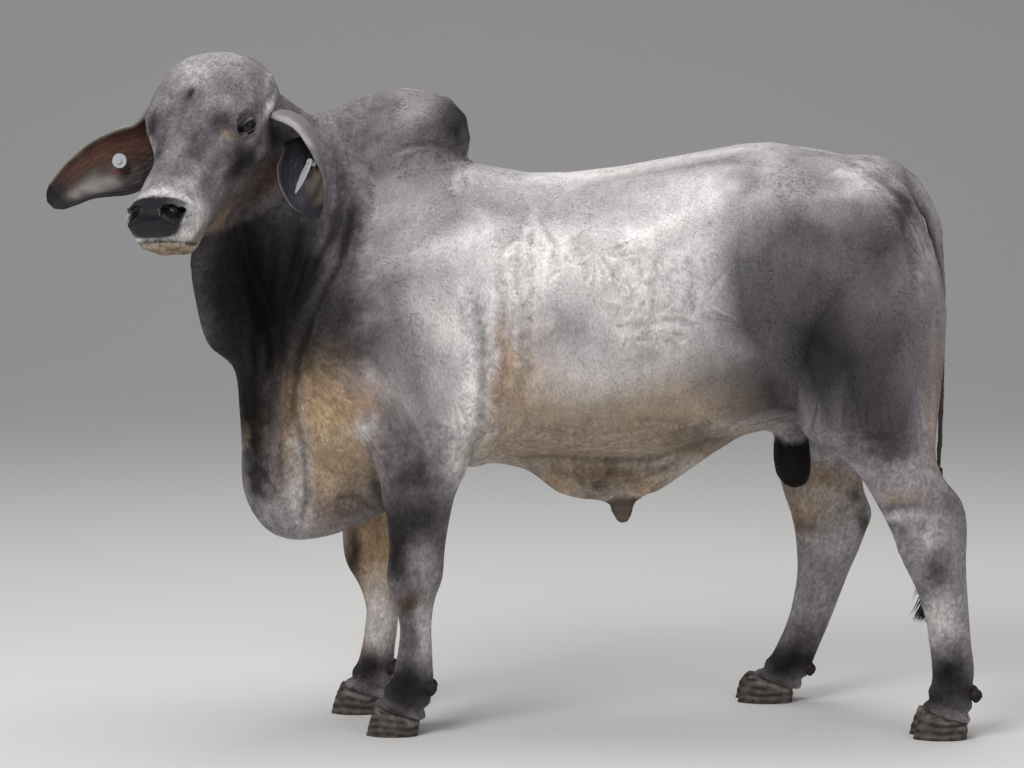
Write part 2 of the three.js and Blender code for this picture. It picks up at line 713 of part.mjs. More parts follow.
const feet = {
  fore_left: { toe: -352, heel: -228, y: -145, lean: 28, back: [-196, -146, 112] },
  fore_right: { toe: -455, heel: -335, y: 102, lean: 28, back: [-302, 103, 112] },
  hind_left: { toe: 962, heel: 1090, y: -182, lean: 26, back: [1112, -183, 104] },
  hind_right: { toe: 580, heel: 720, y: 230, lean: 40, back: [766, 230, 84] },
};

// A steady run of numbers from 0 to 1, the same at every build.
function steadyNumbers(start) {
  let n = start;
  return () => {
    n = (n * 16807) % 2147483647;
    return n / 2147483647;
  };
}

// The switch at the tail's end, flat tapered locks that overlap and bend about one core.
function tailSwitch() {
  const next = steadyNumbers(71);
  const locks = [];
  const count = 9;
  for (let i = 0; i < count; i++) {
    const share = i / (count - 1);
    const heading = 137.5 * i;
    const [c, s] = [Math.cos(rad(heading)), Math.sin(rad(heading))];
    const top = 640 - 190 * share - 20 * next();
    const length = 210 + 60 * next() + (1 - share) * 60;
    const spread = 13 + 9 * next();
    const drift = (z) => 1050 - 52 * Math.max(0, (600 - z) / 380) ** 1.4;
    const stations = [0, 0.3, 0.65, 1].map((t) => {
      const z = Math.max(top - length * t, 228 + 30 * next());
      const out = 7 + spread * Math.sin(Math.PI * Math.min(t * 0.8, 1));
      return {
        at: [drift(z) + c * out, s * out, z],
        turn: heading,
        pitch: 90,
        up: 5.5 * (1 - 0.75 * t),
        down: 5.5 * (1 - 0.75 * t),
        side: 14 * (1 - 0.85 * t),
      };
    });
    locks.push(form(stations, { around: 5, along: 4 }));
  }
  const core = form(
    [
      { at: [1048, 0, 575], pitch: 90, up: 11, down: 11, side: 12 },
      { at: [1046, 0, 500], pitch: 90, up: 18, down: 18, side: 19 },
      { at: [1038, 0, 400], pitch: 92, up: 20, down: 20, side: 22 },
      { at: [1020, 0, 310], pitch: 98, up: 13, down: 13, side: 15 },
      { at: [1004, 0, 248], pitch: 100, up: 3, down: 3, side: 4 },
    ],
    { around: 8, along: 5 },
  );
  return joined([core, ...locks]);
}

// The plain forms of the body, which cut their neighbours back by the clearance.
const forms = {
  trunk: trunk(),
  neck: neck(),
  hump: hump(),
  skull: headSolid(skull()),
  fore_left: foreleg(-1),
  fore_right: foreleg(1),
  hind_left: hindleg(-1),
  hind_right: hindleg(1),
  tail: tail(),
};
const body = ["trunk", "fore_left", "fore_right", "hind_left", "hind_right"];

// A solid cut clear of the named plain forms, in its one main body.
const clearOf = (s, names) =>
  largest(names.reduce((rest, name) => rest.subtract(grown(forms[name])), s));

// The torso takes the shoulders and thighs above these planes, and the legs keep the rest.
const foreCut = { at: [-240, 0, 700], way: [0, 0, 1] };
const hindCut = { at: [860, 0, 735], way: [-0.12, 0, 1] };
const partedLeg = (name) => {
  const plane = name.startsWith("fore") ? foreCut : hindCut;
  return parted(forms[name], plane.at, plane.way);
};
const legs = Object.fromEntries(Object.keys(feet).map((name) => [name, partedLeg(name)]));

const nodes = {};
const add = (name, look, piece) => {
  nodes[name] = { piece, look };
};

function addHead() {
  const [headPiece, padPiece] = headAndPad();
  const eyes = [eyeball(-1), eyeball(1)];
  const ears = [clearOf(earLeft(), ["skull", "neck"]), clearOf(earRight(), ["skull", "neck"])];
  add("head", "hide_face", largest(eyes.reduce((rest, eye) => rest.subtract(grown(eye)), headPiece)));
  add("nose_pad", "muzzle", padPiece);
  ["left", "right"].forEach((side, i) => {
    add(`eye_${side}`, "eye", eyes[i]);
    add(`ear_${side}`, "ear_hide", ears[i]);
  });
  add("tag_left", "tag_plastic", largest(leafTag().subtract(grown(ears[0]))));
  add("tag_right", "tag_plastic", largest(buttonTag().subtract(grown(ears[1]))));
}

function addTrunk() {
  const uppers = Object.values(legs).map((halves) => halves[0]);
  add("hump", "hide_dark", forms.hump);
  add("torso", "hide_grey", clearOf(joined([forms.trunk, ...uppers]), ["hump"]));
  add("neck", "hide_dark", clearOf(forms.neck, ["skull", "hump", ...body]));
  add("dewlap", "hide_dark", clearOf(dewlap(), ["skull", "neck", ...body]));
  add("sheath", "hide_tan", clearOf(sheath(), ["trunk"]));
  add("scrotum", "skin_dark", clearOf(scrotum(), body));
  add("tail", "hide_grey", clearOf(forms.tail, body));
  add("tail_switch", "switch_hair", clearOf(tailSwitch(), ["tail", "hind_left", "hind_right"]));
}

// A leg with its two claws below the slope of the coronet, and two dewclaws behind.
function addLeg(name) {
  const foot = feet[name];
  const coronet = [foot.toe + foot.lean, 0, 60];
  const slope = [0.32, 0, 1];
  const inner = foot.y < 0 ? 1 : -1;
  let [limb] = parted(legs[name][1], coronet, slope);
  for (const [label, hand] of [["inner", inner], ["outer", -inner]]) {
    const [, horn] = parted(claw(foot, hand), coronet, slope);
    const spur = dewclaw(foot.back, hand);
    limb = limb.subtract(grown(spur));
    add(`${name}_${label}_claw`, "hoof_horn", horn);
    add(`${name}_${label}_dewclaw`, "hoof_horn", spur);
  }
  add(`${name}_leg`, "hide_leg", clearOf(limb, ["trunk"]));
}

addHead();
addTrunk();
Object.keys(feet).forEach(addLeg);

const looks = {
  hide_grey: { color: 0x9a9894, roughness: 0.85 },
  hide_dark: { color: 0x4a4846, roughness: 0.85 },
  hide_face: { color: 0x8b8985, roughness: 0.8 },
  hide_leg: { color: 0x7c766c, roughness: 0.85 },
  hide_tan: { color: 0xa08c72, roughness: 0.85 },
  ear_hide: { color: 0x5a5450, roughness: 0.8 },
  skin_dark: { color: 0x3a3230, roughness: 0.6 },
  muzzle: { color: 0x26262a, roughness: 0.4 },
  eye: { color: 0x140f0c, roughness: 0.12 },
  hoof_horn: { color: 0x6e655a, roughness: 0.55 },
  switch_hair: { color: 0x1f1d1c, roughness: 0.7 },
  tag_plastic: { color: 0xe4e2da, roughness: 0.45 },
};

// A named mesh of a piece in the colour of its look.
function shown(name, { piece, look }) {
  const { vertProperties, triVerts, numProp } = piece.getMesh();
  const geometry = new THREE.BufferGeometry();
  geometry.setAttribute("position", new THREE.BufferAttribute(vertProperties, numProp));
  geometry.setIndex(new THREE.BufferAttribute(triVerts, 1));
  geometry.computeVertexNormals();
  const material = new THREE.MeshStandardMaterial({ ...looks[look], metalness: 0 });
  material.name = look;
  const mesh = new THREE.Mesh(geometry, material);
  mesh.name = name;
  return mesh;
}

const group = new THREE.Group();
group.name = "brahman_bull";
for (const [name, node] of Object.entries(nodes)) group.add(shown(name, node));
group.position.copy(originShift);

export default group;
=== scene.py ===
import math
import time
import bpy
import numpy as np
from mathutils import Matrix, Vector


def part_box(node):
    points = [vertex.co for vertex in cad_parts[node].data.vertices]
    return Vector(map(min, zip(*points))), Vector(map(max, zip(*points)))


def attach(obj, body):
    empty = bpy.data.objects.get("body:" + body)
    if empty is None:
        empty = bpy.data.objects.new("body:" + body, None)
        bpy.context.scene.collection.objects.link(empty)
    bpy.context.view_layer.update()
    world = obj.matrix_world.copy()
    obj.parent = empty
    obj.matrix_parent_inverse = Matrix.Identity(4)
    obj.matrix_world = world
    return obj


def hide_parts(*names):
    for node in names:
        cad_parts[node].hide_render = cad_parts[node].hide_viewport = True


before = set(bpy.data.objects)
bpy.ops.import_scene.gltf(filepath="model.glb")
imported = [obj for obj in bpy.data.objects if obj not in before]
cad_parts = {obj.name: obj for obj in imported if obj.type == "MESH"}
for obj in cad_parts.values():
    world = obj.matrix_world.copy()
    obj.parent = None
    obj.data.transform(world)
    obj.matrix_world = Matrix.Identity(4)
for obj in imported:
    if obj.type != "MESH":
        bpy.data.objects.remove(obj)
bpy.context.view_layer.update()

shift = np.array([4.0, 76.0, 0.0])  # from the drawing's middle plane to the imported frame, in mm
dice = np.random.default_rng(1907)
started = time.time()

# Where the head sits: its own frame is level, nose towards -x, crown towards +z
headFrame = {"at": (-669.0, -84.0, 1538.0), "turn": 69.9, "tip": -38.6, "roll": -3.0}

# Short rows are filled up with wide 0 and both roundings 2 where they leave these out
def filled(row, size):
    return tuple(row) + (0, 2, 2)[len(row) - size:]


# Level slices of an upright form as z, front, rear, y, side: the middle is (front + rear) / 2, half the rest
def levelSlices(hand, rows):
    return [((front + rear) / 2, hand * y, z, (rear - front) / 2, (rear - front) / 2, side, 0, 90, *rest)
            for z, front, rear, y, side, *rest in (filled(row, 5) for row in rows)]


# Upright slices of a level form as x, top, bottom, side: the middle is (top + bottom) / 2, half the rest
def uprightSlices(rows):
    return [(x, 0, (top + bottom) / 2, (top - bottom) / 2, (top - bottom) / 2, side, 0, 0, *rest)
            for x, top, bottom, side, *rest in (filled(row, 4) for row in rows)]


# Slices of the head on its own axis as x, up, down, side
def headSlices(rows):
    return [(x, 0, 0, up, down, side, 0, 0, *rest)
            for x, up, down, side, *rest in (filled(row, 4) for row in rows)]


# Rings of a form that bends as x, y, z, up, down, side, turn, pitch
def bentRings(rows):
    return [filled(row, 8) for row in rows]


# Legs and scrotum down to where left and right part, the same on both sides
foreUpper = [
    (1250, -385, -200, 130, 40), (1130, -465, -140, 168, 74), (980, -490, -100, 192, 92),
    (840, -450, -78, 194, 94), (730, -375, -78, 188, 90),
]
hindUpper = [
    (1330, 770, 920, 92, 44), (1200, 695, 1000, 138, 86), (1050, 655, 1034, 168, 98),
    (900, 655, 1030, 182, 98), (800, 668, 1020, 190, 92),
]
scrotumHalf = [
    (790, 650, 720, 18, 22), (730, 645, 730, 24, 30), (670, 640, 738, 30, 38), (620, 646, 738, 32, 40),
    (590, 660, 726, 32, 30), (578, 682, 704, 32, 12),
]

# The bull's own forms, in mm; a fuller row also gives wide, roundUp and roundDown
forms = {
    "trunk": uprightSlices([
        (-590, 1100, 800, 60), (-565, 1200, 700, 120), (-490, 1330, 610, 190, -40),
        (-380, 1400, 575, 240, -50, 1.8), (-250, 1408, 590, 270, -50, 1.8), (-100, 1384, 628, 290, -40),
        (40, 1362, 655, 308, -20), (180, 1365, 655, 325, -20, 2, 2.1), (330, 1388, 660, 325, 0, 2.1),
        (470, 1414, 680, 312, 20, 2.2), (590, 1433, 712, 290, 40, 2.3), (700, 1425, 740, 268, 60, 2.3),
        (800, 1403, 770, 250, 60, 2.3), (890, 1378, 800, 228, 60, 2.3), (950, 1325, 840, 190, 40),
        (985, 1230, 900, 140), (1000, 1130, 980, 60),
    ]),
    "neck": bentRings([
        (-690, -150, 1510, 70, 70, 70, 72, 20), (-645, -120, 1450, 134, 130, 104, 64, 24),
        (-585, -90, 1370, 166, 190, 124, 48, 26), (-520, -60, 1280, 205, 230, 145, 32, 25, 0, 1.8),
        (-440, -22, 1180, 280, 290, 185, 14, 18, 0, 1.7), (-340, 0, 1080, 360, 340, 220, 0, 0, 0, 1.8),
    ]),
    "hump": bentRings([
        (-535, -45, 1420, 70, 60, 40, 20, 0), (-450, -10, 1420, 88, 100, 72, 8, 0),
        (-370, 0, 1415, 128, 120, 100, 0, 0), (-280, 0, 1415, 150, 130, 118, 0, 0),
        (-200, 0, 1420, 138, 120, 114, 0, 0), (-145, 0, 1428, 108, 70, 96, 0, 0),
        (-112, 0, 1436, 66, 42, 66, 0, 0), (-98, 0, 1440, 20, 18, 24, 0, 0),
    ]),
    "skull": headSlices([
        (-520, 10, 40, 42, 0, 2.4, 2.5), (-513, 32, 64, 62, 0, 2.6, 2.5), (-494, 48, 81, 74, 0, 2.6, 2.5),
        (-458, 57, 109, 79, 0, 2.5, 2.5), (-418, 62, 118, 75, 0, 2.4, 2.5),
        (-370, 68, 123, 74, 0, 2.3, 2.4), (-320, 77, 150, 79, 0, 2.2, 2.3),
        (-270, 88, 166, 94, 14, 2.2, 2.1), (-225, 105, 172, 118, 26, 2.75, 1.85),
        (-185, 124, 178, 135, 32, 2.8, 1.75), (-145, 140, 178, 142, 30, 2.8, 1.7),
        (-100, 152, 164, 140, 22, 2.7, 1.8), (-55, 154, 138, 137, 14, 2.5), (-15, 140, 108, 133, 0, 2.4),
        (24, 110, 78, 114, 0, 2.4), (52, 68, 48, 78, 0, 2.3), (68, 21, 18, 28),
    ]),
    "foreLeft": levelSlices(-1, foreUpper + [
        (636, -331, -105, 175, 84), (590, -322, -128, 168, 76), (534, -307, -142, 162, 68),
        (448, -301, -156, 155, 60), (376, -308, -162, 152, 58, 0, 2, 2.5), (324, -294, -181, 150, 50),
        (264, -277, -188, 149, 38), (212, -281, -187, 148, 38), (160, -291, -185, 147, 46),
        (118, -305, -183, 146, 50), (84, -325, -192, 145, 54), (58, -340, -204, 145, 56),
        (8, -352, -216, 145, 54),
    ]),
    "foreRight": levelSlices(1, foreUpper + [
        (636, -400, -150, 172, 84), (590, -412, -194, 160, 76), (534, -427, -230, 146, 68),
        (448, -434, -260, 128, 60), (376, -424, -272, 118, 58, 0, 2, 2.5), (324, -394, -282, 112, 50),
        (264, -374, -282, 108, 38), (212, -378, -282, 106, 38), (160, -386, -290, 104, 46),
        (118, -398, -292, 103, 50), (84, -416, -300, 102, 54), (58, -430, -308, 102, 56),
        (8, -450, -322, 102, 54),
    ]),
    "hindLeft": levelSlices(-1, hindUpper + [
        (728, 690, 1014, 198, 84), (680, 770, 1014, 200, 74), (631, 822, 1034, 200, 64),
        (580, 854, 1076, 200, 56), (526, 884, 1092, 198, 50), (478, 907, 1093, 196, 49),
        (424, 927, 1093, 194, 46), (365, 958, 1097, 191, 40), (284, 985, 1105, 188, 36),
        (225, 995, 1110, 186, 38), (165, 1004, 1117, 184, 46), (128, 1004, 1115, 183, 49),
        (84, 994, 1110, 182, 54), (58, 984, 1108, 182, 56), (8, 966, 1098, 182, 54),
    ]),
    "hindRight": levelSlices(1, hindUpper + [
        (728, 665, 1000, 200, 84), (680, 668, 950, 204, 74), (631, 672, 913, 208, 64),
        (560, 682, 904, 212, 56), (490, 706, 929, 215, 50), (440, 718, 913, 217, 49),
        (390, 724, 895, 219, 46), (329, 725, 871, 221, 40), (260, 715, 846, 224, 36),
        (196, 698, 822, 227, 38), (140, 674, 798, 229, 46), (108, 658, 786, 230, 49),
        (78, 633, 772, 230, 54), (58, 616, 760, 230, 56), (8, 584, 732, 230, 54),
    ]),
    "tail": bentRings([
        (770, 0, 1368, 30, 60, 55, 0, 0), (870, 0, 1372, 32, 50, 46, 0, 8),
        (945, 0, 1348, 32, 38, 36, 0, 32), (1002, 0, 1290, 26, 27, 28, 0, 58),
        (1036, 0, 1210, 20, 20, 22, 0, 76), (1050, 0, 1100, 16, 16, 18, 0, 87),
        (1056, 0, 900, 14, 14, 15, 0, 90), (1054, 0, 700, 12, 12, 13, 0, 90),
        (1048, 0, 560, 10, 10, 11, 0, 92),
    ]),
    "dewlap": bentRings([
        (-700, -205, 1310, 70, 46, 30, 72, 62), (-704, -214, 1240, 110, 62, 34, 70, 70),
        (-705, -205, 1160, 140, 92, 38, 66, 76), (-690, -185, 1060, 150, 92, 38, 58, 80),
        (-665, -155, 965, 150, 84, 40, 50, 76), (-610, -95, 900, 110, 76, 48, 38, 78),
        (-575, -55, 805, 110, 100, 60, 26, 80), (-550, -28, 710, 110, 122, 72, 16, 78),
        (-530, -10, 620, 120, 144, 80, 8, 68), (-490, 0, 572, 130, 152, 84, 0, 42, 0, 2, 1.9),
        (-430, 0, 568, 140, 118, 86, 0, 14, 0, 2, 1.8), (-360, 0, 590, 130, 98, 80, 0, 0, 0, 2, 1.8),
        (-270, 0, 620, 100, 84, 70, 0, 0), (-170, 0, 660, 60, 60, 50, 0, 0),
    ]),
    "sheathFold": uprightSlices([
        (-110, 700, 640, 20), (-30, 710, 634, 34), (40, 710, 616, 42), (110, 710, 564, 48),
        (180, 710, 546, 50), (250, 710, 545, 50), (320, 710, 548, 48), (400, 715, 592, 44),
        (480, 730, 648, 38), (560, 745, 700, 30), (620, 755, 730, 18),
    ]),
    "sheathTip": levelSlices(1, [
        (600, 235, 305, 0, 34), (548, 236, 306, 0, 34), (515, 243, 303, 0, 29), (494, 252, 294, 0, 21),
        (486, 262, 284, 0, 10),
    ]),
    "scrotumLeft": levelSlices(-1, scrotumHalf),
    "scrotumRight": levelSlices(1, scrotumHalf),
}


# A column of rows that run downwards, read off at a height
def atHeight(rows, z, column):
    return np.interp(z, rows[::-1, 2], rows[::-1, column])


# Hermite curve through station rows, each slope being the difference of its neighbours over their spacing
def alongStations(rows, count):
    rows = np.asarray(rows, float)
    steps = np.linalg.norm(np.diff(rows[:, :3], axis=0), axis=1)
    knots = np.concatenate([[0.0], np.cumsum(steps)])
    last = len(rows) - 1
    low = np.maximum(np.arange(last + 1) - 1, 0)
    high = np.minimum(np.arange(last + 1) + 1, last)
    slopes = (rows[high] - rows[low]) / (knots[high] - knots[low])[:, None]
    t = np.linspace(0, knots[-1], count)
    k = np.clip(np.searchsorted(knots, t, side="right") - 1, 0, last - 1)
    span = (knots[k + 1] - knots[k])[:, None]
    s = (t[:, None] - knots[k][:, None]) / span
    p0, p1 = rows[k], rows[k + 1]
    m0, m1 = slopes[k] * span, slopes[k + 1] * span
    return p0 + s * (m0 + s * (3 * (p1 - p0) - 2 * m0 - m1 + s * (2 * (p0 - p1) + m0 + m1)))


# Ring carried along the stations: side * cos^p sideways, (up or down) * sin^p upwards, tilted by turn, pitch
def sweep(rows, around, along):
    x, y, z, up, down, side, turn, pitch, wide, roundUp, roundDown = alongStations(rows, along).T[:, :, None]
    turn, pitch = np.radians(turn), np.radians(pitch)
    angle = np.linspace(0, 2 * np.pi, around, endpoint=False)[None]
    c, s = np.cos(angle), np.sin(angle)
    power = 2 / np.where(s > 0, roundUp, roundDown)
    lateral = side * np.sign(c) * np.abs(c) ** power
    lift = wide + np.where(s > 0, up - wide, down + wide) * np.sign(s) * np.abs(s) ** power
    return np.stack([
        x - np.sin(turn) * lateral + np.sin(pitch) * np.cos(turn) * lift,
        y + np.cos(turn) * lateral + np.sin(pitch) * np.sin(turn) * lift,
        z + np.cos(pitch) * lift], axis=-1)


# Unit vector(s): v over its length
def unit(v):
    return v / np.maximum(np.linalg.norm(v, axis=-1, keepdims=True), 1e-9)


# A share held between 0 and 1
def clamp(share):
    return np.clip(share, 0, 1)


# A bell round zero: e^(-x^2)
def bell(x):
    return np.exp(-x ** 2)


# The head's turning as one matrix: roll about x, then tip about y, then turn about z
def headAxes():
    a, b, c = (math.radians(headFrame[name]) for name in ("turn", "tip", "roll"))
    turn = np.array([[math.cos(a), -math.sin(a), 0], [math.sin(a), math.cos(a), 0], [0, 0, 1]])
    tip = np.array([[math.cos(b), 0, math.sin(b)], [0, 1, 0], [-math.sin(b), 0, math.cos(b)]])
    roll = np.array([[1, 0, 0], [0, math.cos(c), -math.sin(c)], [0, math.sin(c), math.cos(c)]])
    return turn @ tip @ roll


headTurn = headAxes()
headAt = np.array(headFrame["at"])


# Head frame to body frame: turned, then moved to where the head sits
def fromHead(points):
    return np.asarray(points, float) @ headTurn.T + headAt


# Body frame to head frame: the same backwards
def toHead(points):
    return (np.asarray(points, float) - headAt) @ headTurn


# Whether points in the head's frame lie behind a front plane and within half its width and height
def inHeadBox(local, front, half, tall):
    return (local[:, 0] < front) & (np.abs(local[:, 1]) < half) & (np.abs(local[:, 2]) < tall)


# Quads between rings of m points: point j and the next on ring i, then the same two on ring i + 1
def ringQuads(rings, m):
    i, j = np.meshgrid(np.arange(rings - 1), np.arange(m), indexing="ij")
    k = (j + 1) % m
    return np.stack([i * m + j, i * m + k, (i + 1) * m + k, (i + 1) * m + j], -1).reshape(-1, 4)


# Rings joined to quads, each end closed by a fan round its middle, and turned so the walls face out
def closedTube(grid):
    n, m = grid.shape[:2]
    quads = ringQuads(n, m)
    ring = np.arange(m)
    nextRing = (ring + 1) % m
    first = np.stack([np.full(m, n * m), nextRing, ring], -1)
    final = np.stack([np.full(m, n * m + 1), (n - 1) * m + ring, (n - 1) * m + nextRing], -1)
    points = np.concatenate([grid.reshape(-1, 3), grid[:1].mean(1), grid[-1:].mean(1)])
    tris = np.concatenate([quads[:, [0, 1, 2]], quads[:, [0, 2, 3]], first, final])
    a, b, c = points[tris[:, 0]], points[tris[:, 1]], points[tris[:, 2]]
    if np.einsum("ij,ij->", a - points.mean(0), np.cross(b - points.mean(0), c - points.mean(0))) < 0:
        quads, first, final = quads[:, ::-1], first[:, ::-1], final[:, ::-1]
    return points, [quads, np.concatenate([first, final])]


# Values on a grid laid out like a closed tube's points: all rows, then the first and last for the two middles
def withEnds(values):
    return np.concatenate([values, values[:1], values[-1:]])


# Several closed bodies as one list of points and faces
def gathered(parts):
    points, quads, tris, offset = [], [], [], 0
    for p, (q, t) in parts:
        points.append(p)
        quads.append(q + offset)
        tris.append(t + offset)
        offset += len(p)
    return np.concatenate(points), [np.concatenate(quads), np.concatenate(tris)]


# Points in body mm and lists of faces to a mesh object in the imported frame, in metres
def makePiece(name, points, faceSets, smooth=True):
    mesh = bpy.data.meshes.new(name)
    rows = (np.asarray(points, float) + shift) * 0.001
    sets = [f for f in faceSets if len(f)]
    loops = np.concatenate([f.ravel() for f in sets]).astype(np.int32)
    sizes = np.concatenate([np.full(len(f), f.shape[1]) for f in sets])
    mesh.vertices.add(len(rows))
    mesh.vertices.foreach_set("co", rows.astype(np.float32).ravel())
    mesh.loops.add(len(loops))
    mesh.loops.foreach_set("vertex_index", loops)
    mesh.polygons.add(len(sizes))
    mesh.polygons.foreach_set("loop_start", np.concatenate([[0], np.cumsum(sizes)[:-1]]).astype(np.int32))
    mesh.update(calc_edges=True)
    mesh.polygons.foreach_set("use_smooth", np.full(len(sizes), smooth))
    piece = bpy.data.objects.new(name, mesh)
    bpy.context.scene.collection.objects.link(piece)
    return piece


# Points of a mesh in body mm: metres * 1000 - shift
def readPoints(mesh):
    points = np.empty(len(mesh.vertices) * 3, np.float32)
    mesh.vertices.foreach_get("co", points)
    return points.reshape(-1, 3).astype(float) * 1000 - shift


# Faces of a mesh that all have the same number of corners
def readFaces(mesh, corners):
    index = np.empty(len(mesh.loops), np.int32)
    mesh.loops.foreach_get("vertex_index", index)
    return index.reshape(-1, corners)


# Mesh of an object after its modifiers
def evaluated(piece):
    graph = bpy.context.evaluated_depsgraph_get()
    return bpy.data.meshes.new_from_object(piece.evaluated_get(graph))


# Normal of each point: the sum of the face normals round it
def pointNormals(points, faces):
    a, b, c, d = (points[faces[:, k]] for k in (0, 1, 2, -1))
    across = np.cross(c - a, d - b) if faces.shape[1] == 4 else np.cross(b - a, c - a)
    total = np.zeros_like(points)
    for k in range(faces.shape[1]):
        for axis in range(3):
            total[:, axis] += np.bincount(faces[:, k], across[:, axis], len(points))
    return unit(total)


# Each point moved by (mean of its neighbours - point) * share, more where the skin is hollow than at a bulge
def relaxed(points, quads, rounds, hollow, bulge, keep=None):
    start = quads.ravel()
    end = np.roll(quads, -1, axis=1).ravel()
    count = np.bincount(start, minlength=len(points))[:, None]
    share = 1.0 if keep is None else (1 - keep)[:, None]
    for turn in range(rounds):
        if turn % 4 == 0:
            normals = pointNormals(points, quads)
        mean = np.stack([np.bincount(start, points[end, k], len(points)) for k in range(3)], -1) / count
        away = mean - points
        inwards = np.einsum("ij,ij->i", away, normals) > 0
        points = points + away * np.where(inwards, hollow, bulge)[:, None] * share
    return points


# Each foot: toe and heel on the ground, middle line, how far the crown of the hoof stands behind the toe
feet = {
    "foreLeft": {"toe": -352, "heel": -228, "y": -145, "lean": 28},
    "foreRight": {"toe": -455, "heel": -335, "y": 102, "lean": 28},
    "hindLeft": {"toe": 962, "heel": 1090, "y": -182, "lean": 26},
    "hindRight": {"toe": 580, "heel": 720, "y": 230, "lean": 40},
}
# The crown of a hoof: its height over the toe, and how steeply it falls towards the heel
crown = {"height": 60, "slope": 0.32}

# Swellings and hollows of muscle and bone: place, size, push, each on both sides
muscles = [
    ((-470, 215, 960), (110, 120, 120), (-16, 22, 0)),
    ((-300, 275, 1060), (120, 110, 220), (0, 20, 0)),
    ((-140, 290, 1010), (60, 110, 260), (0, -14, 0)),
    ((590, 255, 1330), (90, 110, 70), (0, 18, 14)),
    ((600, 300, 1090), (110, 110, 150), (0, -24, 0)),
    ((960, 110, 1290), (60, 60, 70), (12, 8, 8)),
    ((830, 255, 1000), (190, 120, 210), (10, 20, 0)),
]


# Each point moved by push * exp(-(distance / size)^2) of every swelling, mirrored over the middle plane
def swollen(points, swellings):
    moved = points.copy()
    for at, size, push in swellings:
        for side in (1, -1):
            flip = np.array([1, side, 1])
            away = ((points - np.array(at) * flip) / np.array(size)) ** 2
            moved = moved + np.exp(-away.sum(-1))[..., None] * np.array(push) * flip
    return moved


# Height of the crown of the hoof at x: height - slope * distance behind its front
def crownHeight(foot, x):
    return crown["height"] - crown["slope"] * (x - (foot["toe"] + foot["lean"]))


# Whether points stand over a foot: within reach of a line behind its middle, and within half its breadth
def overFoot(points, foot, behind, reach, breadth):
    middle = (foot["toe"] + foot["heel"]) / 2
    return (np.abs(points[:, 0] - middle - behind) < reach) & (np.abs(points[:, 1] - foot["y"]) < breadth)


# Points round and along each tube of flesh
fleshGrid = {"around": 44, "along": 96}


# The flesh as closed tubes: each leg ends at max(z, crown of its hooves), the head stands in its own frame
def fleshParts():
    parts = []
    for name, rows in forms.items():
        grid = sweep(rows, fleshGrid["around"], fleshGrid["along"])
        foot = feet.get(name)
        if name == "skull":
            grid = fromHead(grid)
        elif name in ("trunk", "neck") or foot:
            grid = swollen(grid, muscles)
        if foot:
            grid[..., 2] = np.maximum(grid[..., 2], crownHeight(foot, grid[..., 0]))
        parts.append(closedTube(grid))
    for rows in (earStations["near"], earStations["far"]):
        parts.append(closedTube(earRoot(rows)))
    return parts


# Ears: place along the middle, way the trough opens, half-width, depth of the trough, thickness
earStations = {
    "near": [
        (-552, -150, 1470, -0.8, -0.5, -0.3, 30, 34, 26),
        (-536, -202, 1447, -0.85, -0.45, -0.25, 46, 58, 18),
        (-519, -234, 1416, -0.74, -0.66, -0.05, 60, 62, 12),
        (-504, -252, 1374, -0.62, -0.77, 0.05, 66, 58, 10),
        (-490, -262, 1334, -0.52, -0.84, 0.12, 62, 48, 9),
        (-478, -266, 1299, -0.45, -0.88, 0.18, 50, 28, 8), (-466, -268, 1273, -0.35, -0.92, 0.2, 32, 12, 8),
        (-455, -268, 1246, -0.3, -0.93, 0.2, 9, 2, 7),
    ],
    "far": [
        (-790, -58, 1526, -0.5, -0.8, -0.1, 34, 26, 26), (-832, -54, 1477, -0.4, -0.88, -0.1, 50, 36, 18),
        (-878, -52, 1416, -0.25, -0.95, 0.0, 69, 40, 12), (-930, -54, 1384, -0.15, -0.97, 0.05, 79, 36, 10),
        (-984, -60, 1366, -0.1, -0.98, 0.1, 74, 28, 9), (-1035, -68, 1341, -0.1, -0.98, 0.1, 58, 18, 8),
        (-1078, -76, 1309, -0.1, -0.98, 0.1, 44, 10, 8), (-1101, -79, 1287, -0.1, -0.98, 0.1, 30, 5, 8),
        (-1112, -81, 1276, -0.1, -0.98, 0.1, 12, 2, 7),
    ],
}


# Frame along an ear: its middle line, the unit vector along it, the way it opens less its part along, and the
# way across as opening x along, followed by half-width, depth and thickness
def earAxes(rows, count):
    s = alongStations(rows, count)
    at = s[:, :3]
    along = unit(np.gradient(at, axis=0))
    opening = s[:, 3:6]
    opening = unit(opening - np.einsum("ij,ij->i", opening, along)[:, None] * along)
    return at, along, opening, unit(np.cross(opening, along)), s[:, 6], s[:, 7], s[:, 8]


# The solid root of an ear: how many of 60 steps along the ear it takes, how deep it starts in the head, in mm
earRootSize = {"steps": 12, "sunk": 40, "deep": 24.0}


# Ellipses across the ear's middle line: wide * cos across, deep * sin towards the opening
def earRoot(rows):
    steps = earRootSize["steps"]
    at, along, opening, across, reach, cup, thick = (v[:steps] for v in earAxes(rows, 60))
    t = np.linspace(0, 1, steps)
    at = np.concatenate([at[:1] - along[:1] * earRootSize["sunk"], at])
    across, opening = (np.concatenate([v[:1], v]) for v in (across, opening))
    wide = np.concatenate([[reach[0] * 0.9], reach * (1 - 0.3 * t ** 2)])
    deep = np.concatenate([[earRootSize["deep"]], (thick + cup) * 0.42 * (1 - 0.8 * t ** 2)])
    low = np.concatenate([[0.0], -cup * 0.75 * t])
    angle = np.linspace(0, 2 * np.pi, 28, endpoint=False)[None, :, None]
    return (at + opening * low[:, None])[:, None] + across[:, None] * wide[:, None, None] * np.cos(angle) \
        + opening[:, None] * deep[:, None, None] * np.sin(angle)


